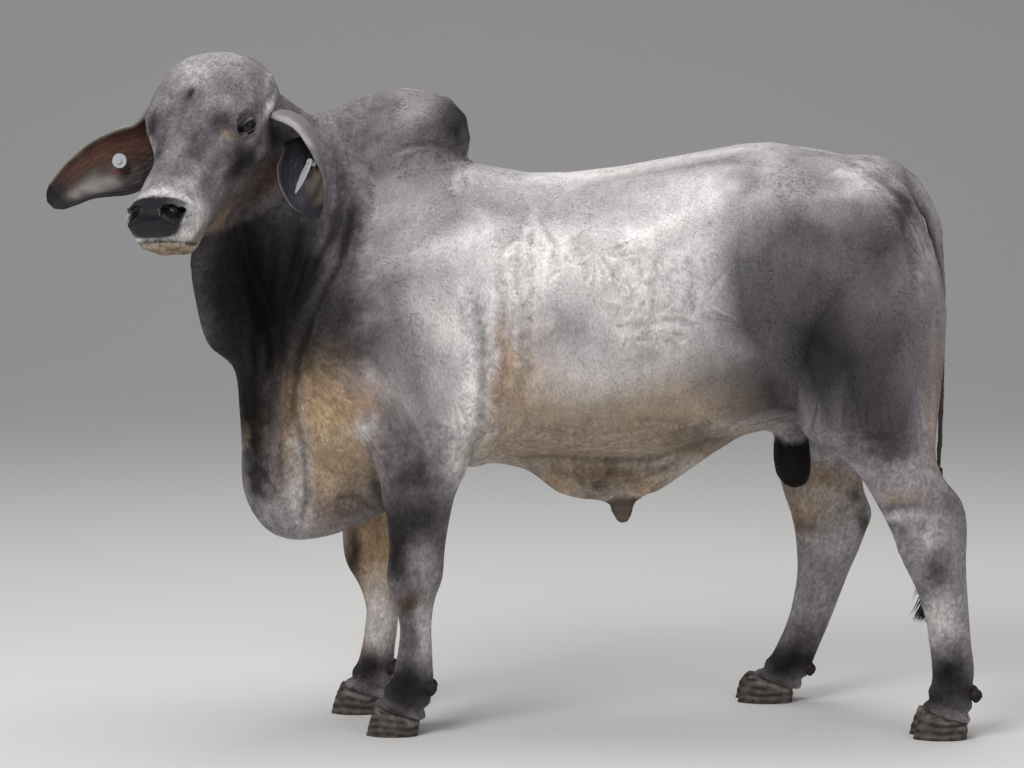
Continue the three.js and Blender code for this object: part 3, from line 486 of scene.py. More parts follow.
# The side view that both flanks share: distance and height in mm, tilt in degrees, focus and middle
view = {"distance": 5800.0, "height": 1313.0, "down": 4.69, "focus": 2367.0, "middle": (512.0, 384.0)}
neckBend = {"x": [-720, -645, -585, -520, -440, -340], "y": [-205, -150, -100, -62, -22, 0]}


# How far the middle of the neck has turned aside at x, straight between the listed places
def neckLine(x):
    return np.interp(x, neckBend["x"], neckBend["y"])


# Points mirrored to the near side about that middle, tilted, and projected: focus * offset / depth
def sideView(points, mirrored=True):
    x, y, z = points[:, 0], points[:, 1], points[:, 2]
    line = neckLine(x)
    y = line - np.abs(y - line) if mirrored else y
    a = math.radians(view["down"])
    ahead = y + view["distance"]
    rise = z - view["height"]
    depth = ahead * math.cos(a) - rise * math.sin(a)
    up = rise * math.cos(a) + ahead * math.sin(a)
    u = view["middle"][0] + view["focus"] * x / depth
    v = view["middle"][1] - view["focus"] * up / depth
    return np.stack([u, v], -1)


# Distance from each place to the nearest of a line's straight pieces, and the share of its length there
def fromLine(places, line):
    line = np.asarray(line, float)
    steps = np.linalg.norm(np.diff(line, axis=0), axis=1)
    start = np.concatenate([[0.0], np.cumsum(steps)])
    best = np.full(len(places), 1e9)
    share = np.zeros(len(places))
    for k in range(len(line) - 1):
        way = line[k + 1] - line[k]
        t = clamp(((places - line[k]) @ way) / (way @ way))
        away = np.linalg.norm(places - line[k] - t[:, None] * way, axis=1)
        closer = away < best
        best = np.where(closer, away, best)
        share = np.where(closer, (start[k] + t * steps[k]) / start[-1], share)
    return best, share


# A smooth wobble between -1 and 1: the mean of three sines, each bent by a sine of the next direction
def wobble(points, size, seed=0.0):
    p = points / size
    return (np.sin(p[:, 0] * 1.3 + 2.1 * np.sin(p[:, 1] * 0.7 + seed) + seed)
            + np.sin(p[:, 1] * 1.7 + 1.7 * np.sin(p[:, 2] * 0.9 + seed * 1.3))
            + np.sin(p[:, 2] * 1.5 + 1.9 * np.sin(p[:, 0] * 0.8 + seed * 0.7))) / 3


# Folds of loose skin in the shared side view: line, depth in mm, half-width in the view's own units
folds = {
    "neckAndDewlap": [
        ([(314, 121), (332, 148), (339, 175), (338, 205), (326, 245), (307, 283), (290, 315),
          (281, 347), (277, 379), (271, 443), (269, 475)], 9, 4.5),
        ([(352, 190), (352, 212), (346, 240), (340, 265), (329, 284), (317, 311), (305, 334),
          (298, 366), (292, 405), (288, 430)], 12, 4),
        ([(304, 222), (298, 251), (286, 290), (277, 334), (273, 366), (261, 395)], 8, 4),
        ([(324, 124), (338, 146), (344, 172), (346, 195), (338, 225), (326, 250)], 5, 3),
        ([(276, 226), (270, 270), (262, 310), (258, 350), (254, 400)], 6, 4.5),
        ([(322, 218), (312, 250), (301, 280), (292, 305), (286, 340), (280, 380)], 6, 3.5),
        ([(313, 300), (305, 330), (298, 350), (293, 380)], 4, 3),
        ([(244, 350), (243, 400), (250, 440), (254, 468)], 5, 3.5),
        ([(262, 330), (256, 380), (252, 430)], 4, 3),
        ([(244, 487), (252, 472), (264, 478), (272, 490), (276, 506)], 7, 3.5),
        ([(301, 534), (307, 500), (305, 460), (300, 430), (291, 395)], 8, 4.5),
        ([(286, 350), (283, 390), (281, 440), (282, 480)], 6, 4),
    ],
    "brisket": [
        ([(334, 500), (352, 496), (368, 504), (378, 514)], 5, 3.5),
        ([(345, 517), (362, 512), (376, 520)], 4, 3),
    ],
    "hump": [
        ([(396, 151), (408, 146), (425, 144), (443, 146), (458, 150), (469, 156)], 5, 3),
        ([(404, 160), (420, 153), (440, 152), (460, 158)], 3, 3),
        ([(465, 160), (466, 175), (469, 195)], 2.5, 2.5),
        ([(452, 162), (450, 180), (455, 200)], 2, 2.5),
    ],
    "elbow": [
        ([(455, 486), (466, 466), (477, 440), (483, 400), (483, 350), (478, 310), (466, 280)], 7, 6),
        ([(357, 433), (368, 446), (374, 470), (378, 500)], 6, 4),
        ([(371, 451), (382, 449), (394, 447)], 3, 2),
    ],
    "barrel": [
        ([(496, 226), (502, 270), (503, 320), (499, 380), (490, 425)], 2.4, 5),
        ([(518, 215), (521, 270), (522, 330), (523, 400)], 2, 4),
        ([(527, 190), (532, 240), (533, 300), (526, 350), (522, 395)], 2.4, 4),
        ([(550, 230), (557, 280), (560, 330)], 1.8, 5),
        ([(508, 330), (505, 380), (500, 420)], 2, 4),
    ],
    "flank": [
        ([(686, 250), (694, 275), (699, 300), (690, 318)], 2.8, 6),
        ([(657, 255), (668, 280), (674, 303)], 2.6, 6),
        ([(617, 265), (625, 285), (633, 308)], 2.4, 6),
        ([(612, 240), (640, 268), (657, 300), (662, 325)], 2.6, 6),
        ([(570, 235), (583, 262), (594, 290)], 2.2, 6),
        ([(616, 326), (650, 322), (680, 320), (704, 330)], 2.2, 5),
        ([(620, 344), (650, 341), (690, 343)], 2.2, 5),
    ],
    "sheath": [
        ([(506, 457), (557, 456), (598, 459), (645, 460), (689, 447), (733, 435)], 7, 3.5),
        ([(580, 480), (590, 500)], 5, 3),
        ([(590, 492), (600, 480), (614, 469)], 6, 3.5),
        ([(604, 505), (632, 505)], 4, 2.5),
        ([(612, 480), (628, 497)], 4, 2.5),
        ([(547, 459), (556, 474)], 4, 3),
        ([(556, 472), (596, 486), (640, 480), (684, 457)], 4, 3.5),
        ([(630, 470), (660, 468), (700, 448)], 4, 3),
        ([(640, 505), (655, 490), (672, 474)], 3, 3),
    ],
    "thigh": [
        ([(833, 154), (866, 171), (889, 187), (909, 202), (924, 233), (931, 260)], 7, 4),
        ([(880, 185), (905, 215), (918, 250), (924, 300)], 3, 5),
        ([(900, 560), (918, 545), (930, 520), (934, 490)], 4, 5),
        ([(866, 590), (880, 570), (890, 540)], 3, 4),
    ],
}


# How far folds wander, how soon they fade at their ends, and the roll beside each: height, place and width
foldShape = {"wander": 1.3, "ends": 6, "roll": 0.4, "rollAt": 1.9, "rollWidth": 1.1}


# Depth of the folds at each place: -depth * e^(-(d/w)^2), with a roll 0.4 as high beside it
def foldDepth(places, points):
    depth = np.zeros(len(places))
    wander = np.stack([wobble(points, 46.0, 1.0), wobble(points, 38.0, 4.0)], -1) * foldShape["wander"]
    for line, deep, width in (fold for group in folds.values() for fold in group):
        away, share = fromLine(places + wander, line)
        fade = clamp(np.minimum(share, 1 - share) * foldShape["ends"]) ** 0.7
        roll = bell((away - foldShape["rollAt"] * width) / (foldShape["rollWidth"] * width))
        depth += (-deep * bell(away / width) + foldShape["roll"] * deep * roll) * fade
    return depth


# Swellings of the head in its own frame, mirrored: place, size, push
headSwellings = [
    ((-160, 114, 68), (42, 26, 18), (-2, 10, 15)), ((-200, 106, 56), (22, 20, 12), (-2, 5, 8)),
    ((-208, 108, 12), (24, 30, 16), (0, -9, -2)), ((-262, 92, -8), (74, 16, 12), (0, 11, 0)),
    ((-130, 134, -72), (60, 40, 62), (0, 12, 0)), ((-330, 72, -28), (48, 30, 36), (0, -11, 0)),
    ((-196, 112, -52), (40, 30, 30), (0, -7, 0)), ((-372, 60, 30), (40, 24, 18), (0, 5, 2)),
    ((-440, 74, 8), (34, 26, 34), (0, 5, 2)), ((-470, 66, -52), (34, 26, 20), (-3, 7, -4)),
    ((-480, 40, -92), (36, 34, 16), (-4, 2, -6)), ((-400, 40, 62), (60, 22, 20), (0, 0, -3)),
    ((-11, 122, 47), (20, 16, 20), (0, 8, 4)), ((-85, 136, 20), (50, 14, 14), (0, 8, 0)),
    ((-70, 128, -32), (50, 20, 24), (0, -8, 0)), ((-486, 68, 40), (20, 14, 18), (-2, 6, 5)),
    ((-478, 74, 14), (16, 12, 14), (-2, 5, 0)), ((-300, 40, 82), (70, 26, 26), (0, 0, 3)),
    ((-178, 118, 14), (34, 20, 9), (0, 5, -3)), ((-110, 60, 138), (70, 50, 40), (0, 0, 3)),
]

# Creases of the face, mirrored: line in the head's frame, depth, half-width
faceCreases = [
    ([(-206, 104, 60), (-182, 112, 73), (-150, 118, 78)], 4, 4),
    ([(-200, 108, 40), (-226, 98, 26), (-254, 90, 8)], 4, 4),
    ([(-196, 116, 16), (-172, 124, 6), (-146, 130, 8)], 3, 4),
    ([(-204, 112, 28), (-190, 118, 4), (-170, 126, -6)], 2.5, 4),
    ([(-122, 136, 52), (-106, 142, 20), (-100, 142, -12)], 2.5, 5),
    ([(-300, 78, -30), (-330, 74, -60), (-352, 66, -90)], 3, 6),
    ([(-446, 78, 18), (-430, 78, -6), (-424, 74, -32)], 2, 4),
    ([(-250, 96, -110), (-300, 80, -122), (-352, 68, -112)], 3, 6),
    ([(-176, 0, 126), (-162, 7, 129)], 3, 6), ([(-230, 60, 94), (-262, 50, 80), (-300, 40, 74)], 2, 7),
]
# The nostril's comma in the head's frame, and the mouth's line in its x and z
nostrilLine = [(-484, 32, 38), (-491, 44, 35), (-492, 54, 28), (-489, 63, 24), (-482, 70, 27)]
mouthLine = [(-545, 4), (-520, -21), (-496, -50), (-468, -77), (-430, -88), (-396, -90)]
# The eye in the head's frame: middle, the ways it looks and its lids lie, radius, and the almond's half-sizes
eyeGeometry = {"at": (-175, 117, 38), "look": (-0.6, 0.77, 0.2), "lie": (-0.38, 0.9, 0.2), "radius": 24.0,
               "long": 23.0, "upper": 11.5, "lower": 8.5}


# The eye's own frame on one side: its middle, the way it looks, level = look x up, upright = level x look
def eyeFrame(side, way="look"):
    flip = np.array([1, side, 1])
    look = unit(np.array(eyeGeometry[way]) * flip)
    level = unit(np.cross(look, [0, 0, 1.0]))
    return np.array(eyeGeometry["at"]) * flip, look, level, np.cross(level, look)


# The bare nose pad: middle height, half-width, reach and power of its outline above and below, its rear
nosePad = {"z": 20, "half": 71, "above": (36.0, 3.4), "below": (40.0, 2.2), "rear": -452, "none": -430}


# Depth into the pad from its edge: 36 * (1 - ((|y| / half)^p + (|z| / reach)^p)^(1/p)), below zero outside
def padDepth(local):
    y, z = np.abs(local[:, 1]), local[:, 2] - nosePad["z"]
    reach, power = (np.where(z > 0, above, below) for above, below in zip(nosePad["above"], nosePad["below"]))
    depth = 36 * (1 - ((y / nosePad["half"]) ** power + (np.abs(z) / reach) ** power) ** (1 / power))
    fromRear = (nosePad["rear"] - local[:, 0]) * 1.2
    return np.where(local[:, 0] < nosePad["none"], np.minimum(depth, fromRear), -60.0)


# Depths and widths on the face in mm: nostril, its roll, mouth, edge and lift of the pad, the eye's hollow
faceDepths = {"nostril": 38, "nostrilWidth": 6.5, "nostrilRoll": 2.2, "nostrilRollWidth": 5.0, "mouth": 8,
              "mouthWidth": 4.0, "padEdge": 0.9, "padEdgeWidth": 2.6, "padLift": 0.7, "padLiftOver": 6,
              "eyeFrom": 20, "eyeOver": 16, "eyeFront": 4, "creaseRoll": 0.45}


# Head skin moved by its swellings, then inwards by depth * e^(-(d/w)^2) along nostrils, creases and mouth,
# with a low roll beside each. Round each eye it is cut back to 4 mm before the middle of the ball
def headShaped(points, normals):
    local = toHead(points)
    near = inHeadBox(local, 80, 190, 210)
    p, d = local[near], faceDepths
    moved = swollen(p, headSwellings)
    half = np.stack([p[:, 0], np.abs(p[:, 1]), p[:, 2]], -1)
    sign = np.where(p[:, 1] < 0, -1.0, 1.0)
    inward = unit(np.stack([np.full(len(p), 0.8), -0.5 * sign, np.full(len(p), -0.15)], -1))
    away, share = fromLine(half, nostrilLine)
    width = d["nostrilWidth"] + d["nostrilWidth"] * np.sin(np.pi * clamp(share * 1.05)) ** 0.8
    moved += inward * (d["nostril"] * bell(away / width))[:, None]
    outward = normals[near] @ headTurn
    moved += outward * (d["nostrilRoll"] * bell((away - 1.75 * width) / d["nostrilRollWidth"]))[:, None]
    for line, deep, broad in faceCreases:
        away, share = fromLine(half, line)
        fade = np.clip(np.minimum(share, 1 - share) * 5, 0.15, 1)
        roll = d["creaseRoll"] * bell((away - foldShape["rollAt"] * broad) / (foldShape["rollWidth"] * broad))
        moved += outward * (deep * fade * (roll - bell(away / broad)))[:, None]
    away, share = fromLine(p[:, [0, 2]], mouthLine)
    slit = bell(away / d["mouthWidth"]) * clamp((1 - share) * 4)
    moved -= outward * (d["mouth"] * slit)[:, None]
    pad = padDepth(p)
    padEdge = d["padEdge"] * bell(pad / d["padEdgeWidth"]) - d["padLift"] * clamp(pad / d["padLiftOver"])
    moved -= outward * padEdge[:, None]
    for side in (1, -1):
        at, look, _, _ = eyeFrame(side)
        away = p - at
        ahead = away @ look
        beside = np.linalg.norm(away - ahead[:, None] * look, axis=1)
        t = clamp((beside - d["eyeFrom"]) / d["eyeOver"])
        hole = (1 - t * t * (3 - 2 * t)) * (ahead > 0)
        moved -= look * (hole * np.maximum(ahead - d["eyeFront"], 0))[:, None]
    result = points.copy()
    result[near] = fromHead(moved)
    return result


# How closely each point belongs to each form: distance to its middle line over its mean radius there
def formShares(points):
    shares = {}
    for name, rows in forms.items():
        s = alongStations(rows, 26)
        at, radius = s[:, :3], (s[:, 3] + s[:, 4] + 2 * s[:, 5]) / 4
        if name == "skull":
            at = fromHead(at)
        away = np.full(len(points), 1e9)
        for k in range(len(at)):
            away = np.minimum(away, np.linalg.norm(points - at[k], axis=1) / max(radius[k], 8.0))
        shares[name] = away
    return shares


skinSizes = {"grain": 7.6, "rounds": 60, "quickGrain": 11.0, "quickRounds": 24, "fill": 0.62, "wear": 0.16,
             "coat": 5.0, "tailCoat": 2.0, "triangles": 190000, "headReach": 390.0}
headMiddle = fromHead([-226.0, 0.0, -10.0])

# Distance from the head's middle in steps of 4 mm, and the same stretched to twice near it
plainReach = np.linspace(0, 3200, 801)
nearHead = 1 / (1 + np.exp((plainReach[:-1] + 2 - skinSizes["headReach"]) / 30))
stretchedReach = np.concatenate([[0.0], np.cumsum(4.0 + 4.0 * nearHead)])


# Points moved along their line from the head's middle: a distance in the source list becomes the target's
def stretched(points, source, target):
    away = points - headMiddle
    reach = np.maximum(np.linalg.norm(away, axis=-1, keepdims=True), 1e-6)
    return headMiddle + away * np.interp(reach, source, target) / reach


# Rolls above each hoof: how far out, at what height over its crown, how broad; none above the top
rolls = {"bulges": [(6, 16, 11), (-4, 36, 7), (4, 56, 14)], "top": 200}


# Sum of out * e^(-((h - at) / broad)^2) over the bulges, h being the height over the crown
def crownRolls(points):
    total = np.zeros(len(points))
    for foot in feet.values():
        own = overFoot(points, foot, 20, 150, 90)
        h = points[:, 2] - crownHeight(foot, points[:, 0])
        shape = sum(out * bell((h - at) / broad) for out, at, broad in rolls["bulges"])
        total += shape * own * (points[:, 2] < rolls["top"])
    return total


# The skin and how closely its points are to be kept: fused at one grain, relaxed, shaped, then moved along
# its normals by folds + rolls - depth of the coat
def skinMesh():
    grain = skinSizes["grain"]
    points, faces = gathered(fleshParts())
    raw = makePiece("skinRaw", stretched(points, plainReach, stretchedReach), faces)
    fuse = raw.modifiers.new("fuse", "REMESH")
    fuse.mode = "VOXEL"
    fuse.voxel_size = grain * 0.001
    mesh = evaluated(raw)
    points, quads = readPoints(mesh), readFaces(mesh, 4)
    points = stretched(points, stretchedReach, plainReach)
    bpy.data.objects.remove(raw)
    bpy.data.meshes.remove(mesh)
    print("skin fused", len(points), "points", round(time.time() - started, 1))
    local = toHead(points)
    onHead = clamp((90 - local[:, 0]) / 60) * inHeadBox(local, 90, 200, 220)
    rounds = skinSizes["rounds"]
    points = relaxed(points, quads, rounds, skinSizes["fill"], skinSizes["wear"], keep=0.7 * onHead)
    normals = pointNormals(points, quads)
    points = headShaped(points, normals)
    onHead = inHeadBox(toHead(points), 60, 175, 190)
    places = sideView(points)
    depth = foldDepth(places, points) * ~onHead
    away = np.abs(points[:, 1] - neckLine(points[:, 0]))
    depth *= clamp(np.where(points[:, 2] < 700, 1.0, away / 40))
    barrel = np.exp(-((points[:, 0] - 350) / 330) ** 2 - ((points[:, 2] - 1020) / 230) ** 2)
    depth += barrel * 1.1 * wobble(points * np.array([1, 1, 0.35]), 24.0, 2.0)
    behind = (points[:, 0] > 985) & (np.abs(points[:, 1]) < 34) & (points[:, 2] > 480)
    isTail = behind & (formShares(points)["tail"] < 2.2)
    inset = np.where(isTail, skinSizes["tailCoat"], skinSizes["coat"]) * np.where(onHead, 0.5, 1.0)
    normals = pointNormals(points, quads)
    points = points + normals * (depth + crownRolls(points) - inset)[:, None]
    weight = np.where(onHead, 0.8, 0.0)
    weight = np.maximum(weight, np.clip(1.6 - np.abs(points[:, 0] + 560) / 160, 0, 0.55))
    weight = np.maximum(weight, np.where(points[:, 2] < 760, 0.5, 0.0))
    weight = np.maximum(weight, 0.5 * (np.abs(depth) > 1.2))
    return points, quads, weight


# Fewer triangles, target / (2 * quads) of them, kept close together where the weight is high
def thinned(points, quads, weight, triangles):
    dense = makePiece("skinDense", points, [quads])
    group = dense.vertex_groups.new(name="keep")
    for level in np.unique(np.round(weight, 1)):
        group.add(np.flatnonzero(np.round(weight, 1) == level).tolist(), float(level), "REPLACE")
    fewer = dense.modifiers.new("fewer", "DECIMATE")
    fewer.ratio = min(1.0, triangles / (2.0 * len(quads)))
    fewer.vertex_group = "keep"
    fewer.vertex_group_factor = 1.4
    fewer.invert_vertex_group = True
    mesh = evaluated(dense)
    mesh.calc_loop_triangles()
    tris = np.empty(len(mesh.loop_triangles) * 3, np.int32)
    mesh.loop_triangles.foreach_get("vertices", tris)
    made = readPoints(mesh)
    bpy.data.objects.remove(dense)
    bpy.data.meshes.remove(mesh)
    return made, tris.reshape(-1, 3)


# Colours are given as seen on a screen and turned to light: ((c + 0.055) / 1.055)^2.4, or c / 12.92 when dark
def light(colour):
    c = np.asarray(colour, float) / 255
    return np.where(c <= 0.04045, c / 12.92, ((c + 0.055) / 1.055) ** 2.4)


coatTones = {
    "silver": (224, 219, 217), "pale": (194, 188, 186), "steel": (142, 136, 140), "slate": (94, 88, 92),
    "charcoal": (52, 47, 49), "soot": (22, 19, 17), "black": (13, 12, 13), "tan": (176, 148, 116),
    "sand": (146, 126, 103), "rust": (150, 112, 70), "cream": (196, 184, 164), "brown": (70, 53, 38),
    "pad": (25, 25, 30),
}
tones = {name: light(c) for name, c in coatTones.items()}

# Patches of the coat and of painted shade in the shared side view: middle, reach across and down, tone,
# strength
patches = {
    "humpAndCrest": [
        ((365, 135), (76, 44), "slate", 0.75), ((402, 102), (46, 14), "slate", 0.6),
        ((457, 122), (28, 38), "soot", 1.0), ((432, 138), (26, 16), "charcoal", 0.6),
        ((445, 168), (30, 14), "slate", 0.5), ((340, 150), (14, 40), "slate", 0.5),
        ((372, 176), (34, 22), "slate", 0.5), ((335, 122), (10, 16), "steel", 0.6),
    ],
    "neckAndDewlap": [
        # The neck's soot and charcoal are its dark coat with painted shadow cast by the head
        ((280, 290), (66, 130), "soot", 0.97), ((236, 290), (56, 130), "soot", 1.0),
        ((250, 420), (30, 110), "soot", 1.0), ((352, 240), (22, 74), "slate", 0.9),
        ((336, 320), (28, 60), "charcoal", 0.95), ((356, 300), (16, 30), "charcoal", 0.6),
        ((314, 372), (20, 30), "charcoal", 0.8), ((277, 440), (7, 60), "slate", 0.6),
        ((291, 420), (8, 60), "brown", 0.7), ((252, 492), (13, 24), "charcoal", 0.97),
        ((304, 262), (20, 50), "soot", 0.97), ((352, 236), (18, 50), "charcoal", 0.55),
        ((312, 350), (16, 40), "soot", 0.6), ((338, 326), (16, 34), "soot", 0.5),
    ],
    "shoulderAndForearm": [
        ((398, 264), (34, 44), "steel", 0.85), ((382, 296), (20, 24), "slate", 0.75),
        ((394, 336), (20, 22), "charcoal", 0.75), ((368, 342), (26, 22), "slate", 0.9),
        ((348, 350), (24, 24), "charcoal", 0.8), ((432, 320), (30, 60), "pale", 0.85),
        ((332, 445), (44, 70), "tan", 1.0), ((330, 445), (26, 46), "cream", 0.35),
        ((322, 406), (26, 24), "tan", 0.8), ((366, 398), (24, 14), "rust", 0.4),
        ((300, 480), (9, 56), "pale", 0.85), ((345, 505), (32, 24), "brown", 0.55),
        ((272, 524), (22, 16), "steel", 0.8), ((366, 432), (14, 10), "silver", 0.7),
        ((402, 432), (34, 30), "slate", 0.75), ((415, 482), (38, 42), "charcoal", 0.95),
        ((400, 505), (26, 26), "soot", 0.8), ((440, 430), (18, 40), "steel", 0.7),
        ((473, 420), (20, 80), "silver", 1.0),
    ],
    "barrelAndBelly": [
        ((600, 262), (120, 96), "silver", 0.85), ((520, 250), (60, 60), "silver", 0.9),
        ((560, 202), (84, 20), "steel", 0.85), ((465, 208), (38, 20), "slate", 0.85),
        ((490, 192), (34, 12), "pale", 0.8), ((640, 176), (90, 14), "pale", 0.95),
        ((720, 158), (80, 14), "steel", 0.85), ((505, 370), (9, 66), "rust", 0.65),
        ((527, 366), (7, 60), "rust", 0.5), ((490, 405), (9, 46), "rust", 0.4),
        ((516, 400), (10, 50), "tan", 0.6), ((548, 400), (34, 44), "sand", 0.6),
        # The belly's sand and the sheath's browns are tan coat with painted shade underneath
        ((620, 420), (120, 32), "sand", 0.85), ((560, 450), (90, 16), "sand", 0.6),
        ((700, 398), (64, 34), "sand", 0.7), ((660, 330), (60, 30), "pale", 0.6),
        ((700, 442), (50, 14), "brown", 0.7), ((560, 336), (40, 34), "steel", 0.6),
        ((600, 472), (60, 14), "brown", 0.9), ((646, 490), (26, 14), "tan", 0.7),
        ((556, 484), (24, 12), "tan", 0.7), ((603, 490), (20, 12), "brown", 0.7),
    ],
    "rumpAndShank": [
        ((828, 320), (98, 112), "slate", 1.0), ((835, 345), (76, 80), "charcoal", 0.6),
        ((805, 240), (44, 26), "charcoal", 0.97), ((768, 228), (34, 20), "slate", 0.85),
        ((890, 240), (30, 28), "charcoal", 0.85), ((845, 266), (26, 20), "slate", 0.7),
        ((820, 345), (40, 36), "black", 1.0), ((740, 302), (15, 40), "charcoal", 1.0),
        ((742, 300), (14, 34), "soot", 0.8), ((738, 362), (18, 30), "slate", 0.9),
        ((852, 402), (46, 36), "black", 1.0), ((770, 400), (24, 20), "charcoal", 0.9),
        ((905, 350), (22, 60), "slate", 0.8), ((884, 438), (34, 26), "charcoal", 0.9),
        ((790, 430), (20, 9), "steel", 0.7), ((760, 330), (14, 20), "slate", 0.7),
        ((860, 322), (12, 14), "steel", 0.5), ((880, 300), (20, 26), "slate", 0.8),
        ((936, 400), (8, 90), "sand", 0.6), ((780, 178), (60, 10), "steel", 0.8),
        ((868, 178), (36, 14), "silver", 0.8), ((902, 206), (16, 26), "charcoal", 0.85),
        ((880, 178), (20, 10), "slate", 0.7), ((842, 205), (30, 12), "steel", 0.5),
        ((702, 225), (30, 38), "silver", 0.8), ((740, 200), (20, 20), "pale", 0.6),
    ],
}

# Marks of each leg in its own side view, not mirrored: middle, reach across and down, tone, strength
legMarks = {
    "foreLeft": [
        ((410, 540), (60, 60), "slate", 0.9), ((409, 518), (42, 26), "soot", 0.8),
        ((397, 556), (13, 34), "soot", 0.95), ((425, 573), (16, 26), "steel", 0.9),
        ((411, 603), (18, 14), "brown", 0.95), ((427, 632), (9, 34), "pale", 0.85),
        ((406, 641), (13, 30), "charcoal", 0.7), ((404, 684), (26, 24), "soot", 0.98),
        ((400, 712), (26, 12), "charcoal", 0.8),
    ],
    "foreRight": [
        ((372, 560), (40, 90), "tan", 0.8), ((352, 560), (8, 36), "soot", 0.9),
        ((374, 542), (16, 40), "tan", 0.7), ((380, 618), (18, 44), "pale", 0.9),
        ((366, 667), (14, 16), "soot", 0.9), ((365, 689), (16, 10), "slate", 0.8),
        ((352, 700), (20, 10), "charcoal", 0.7),
    ],
    "hindLeft": [
        ((915, 560), (60, 90), "steel", 0.85), ((889, 475), (34, 14), "charcoal", 0.85),
        ((904, 496), (28, 9), "sand", 0.8), ((900, 507), (26, 6), "slate", 0.8),
        ((893, 528), (24, 6), "slate", 0.6), ((900, 518), (26, 5), "pale", 0.6),
        ((926, 538), (14, 20), "pale", 0.7), ((940, 571), (14, 22), "charcoal", 0.85),
        ((942, 618), (16, 28), "pale", 0.9), ((956, 491), (10, 30), "slate", 0.8),
        ((920, 590), (10, 40), "slate", 0.5), ((949, 672), (26, 26), "soot", 0.98),
        ((940, 706), (30, 12), "charcoal", 0.7),
    ],
    "hindRight": [
        ((815, 540), (60, 80), "steel", 0.8), ((822, 476), (44, 40), "sand", 1.0),
        ((800, 518), (22, 20), "tan", 0.8), ((828, 497), (30, 16), "pale", 0.4),
        ((834, 536), (26, 24), "pale", 0.5), ((855, 495), (8, 12), "charcoal", 0.8),
        ((866, 526), (6, 16), "brown", 0.8), ((808, 526), (16, 8), "slate", 0.8),
        ((812, 599), (22, 30), "steel", 0.9), ((802, 638), (24, 20), "slate", 0.9),
        ((787, 662), (24, 20), "soot", 0.97), ((767, 684), (26, 14), "charcoal", 0.8),
    ],
}

# Marks of the face in the head's frame, mirrored, painted shade and highlight among them: place, size, tone,
# strength
faceMarks = [
    ((-50, 50, 140), (100, 90, 70), "steel", 0.6), ((-30, 30, 150), (60, 60, 50), "pale", 0.35),
    ((-172, 2, 126), (20, 9, 18), "charcoal", 0.85), ((-223, 90, 82), (34, 26, 22), "charcoal", 0.75),
    ((-180, 120, 44), (34, 22, 18), "slate", 0.8), ((-184, 118, 22), (26, 16, 10), "sand", 0.55),
    ((-262, 52, 78), (46, 30, 30), "slate", 0.75), ((-312, 46, 66), (17, 12, 14), "charcoal", 0.8),
    ((-330, 20, 70), (60, 40, 30), "steel", 0.6), ((-250, 4, 100), (50, 26, 30), "slate", 0.6),
    # On the cheek below the eye the charcoal and the black are dark coat with painted shade
    ((-255, -40, 70), (70, 40, 60), "slate", 0.5), ((-245, 104, -18), (50, 30, 36), "charcoal", 0.8),
    ((-206, 112, -50), (46, 44, 36), "black", 0.8), ((-290, 84, 20), (26, 20, 20), "slate", 0.7),
    ((-300, 86, -62), (60, 34, 30), "brown", 0.6), ((-236, 97, 56), (14, 12, 14), "tan", 0.7),
    # The silver along the ridge behind the eye is pale hair with a painted highlight
    ((-153, 135, -8), (10, 14, 13), "rust", 0.7), ((-84, 138, 17), (60, 14, 13), "silver", 0.75),
    ((-11, 126, 48), (16, 20, 16), "pale", 0.7), ((-11, 128, 46), (6, 14, 6), "slate", 0.8),
    # The first charcoal, below the ear's root, is painted shade on the jaw
    ((-90, 130, -70), (100, 60, 50), "charcoal", 0.75), ((-60, 138, 60), (40, 20, 18), "pale", 0.6),
    ((-150, 110, -130), (90, 70, 40), "brown", 0.75), ((-354, 40, -122), (60, 60, 22), "sand", 0.7),
    ((-400, 70, -30), (34, 30, 50), "pale", 0.75), ((-372, 50, 50), (40, 34, 30), "pale", 0.5),
    ((-430, 70, -70), (34, 30, 26), "sand", 0.5), ((-199, 57, 111), (40, 26, 34), "charcoal", 0.45),
    ((-298, 48, 70), (50, 24, 28), "charcoal", 0.85), ((-366, 30, 60), (34, 50, 26), "slate", 0.8),
    ((-440, 20, 55), (16, 40, 24), "silver", 0.5), ((-418, 74, -16), (28, 24, 28), "silver", 0.85),
    # The first silver, on the same ridge, is pale hair with a painted highlight
    ((-92, 146, 24), (24, 12, 13), "silver", 0.8), ((-165, 126, -43), (26, 20, 22), "steel", 0.9),
    ((-345, 30, -128), (60, 40, 24), "sand", 0.8), ((-320, 66, -36), (30, 24, 24), "steel", 0.9),
    ((-104, 0, 150), (40, 50, 40), "pale", 0.5), ((-221, 87, 88), (34, 24, 26), "charcoal", 0.8),
    ((-183, 58, 119), (20, 22, 24), "steel", 0.8), ((-275, 51, 74), (30, 20, 20), "slate", 0.6),
    # The second soot, on the cheek below the eye, is dark coat with painted shade
    ((-172, 2, 126), (18, 8, 16), "soot", 0.85), ((-250, 104, -30), (44, 22, 26), "soot", 0.55),
]


# How strongly a soft spot covers each place: e^(-(d^2)^power), d being the distance over the spot's reach
def spotCover(places, middle, reach, power):
    away = (((places - np.array(middle)) / np.array(reach)) ** 2).sum(1)
    return np.exp(-away ** power)


# A colour covered by a tone, or a way by another: colour * (1 - mask) + tone * mask
def covered(colour, mask, tone):
    mask = clamp(mask)[:, None]
    return colour * (1 - mask) + tone * mask


# Three wobbles that blur the edges of spots: size and seed across, size and seed down, and reach in the view
wobbles = [((34.0, 3.0), (29.0, 5.0), 6), ((11.0, 2.0), (12.0, 6.0), 3.5), ((5.0, 7.0), (5.5, 8.0), 1.6)]


# How far each point's place wanders in the side view: the sum of wobble * reach across and down
def wandering(points):
    total = np.zeros((len(points), 2))
    for across, down, reach in wobbles:
        total += np.stack([wobble(points, *across), wobble(points, *down)], -1) * reach
    return total
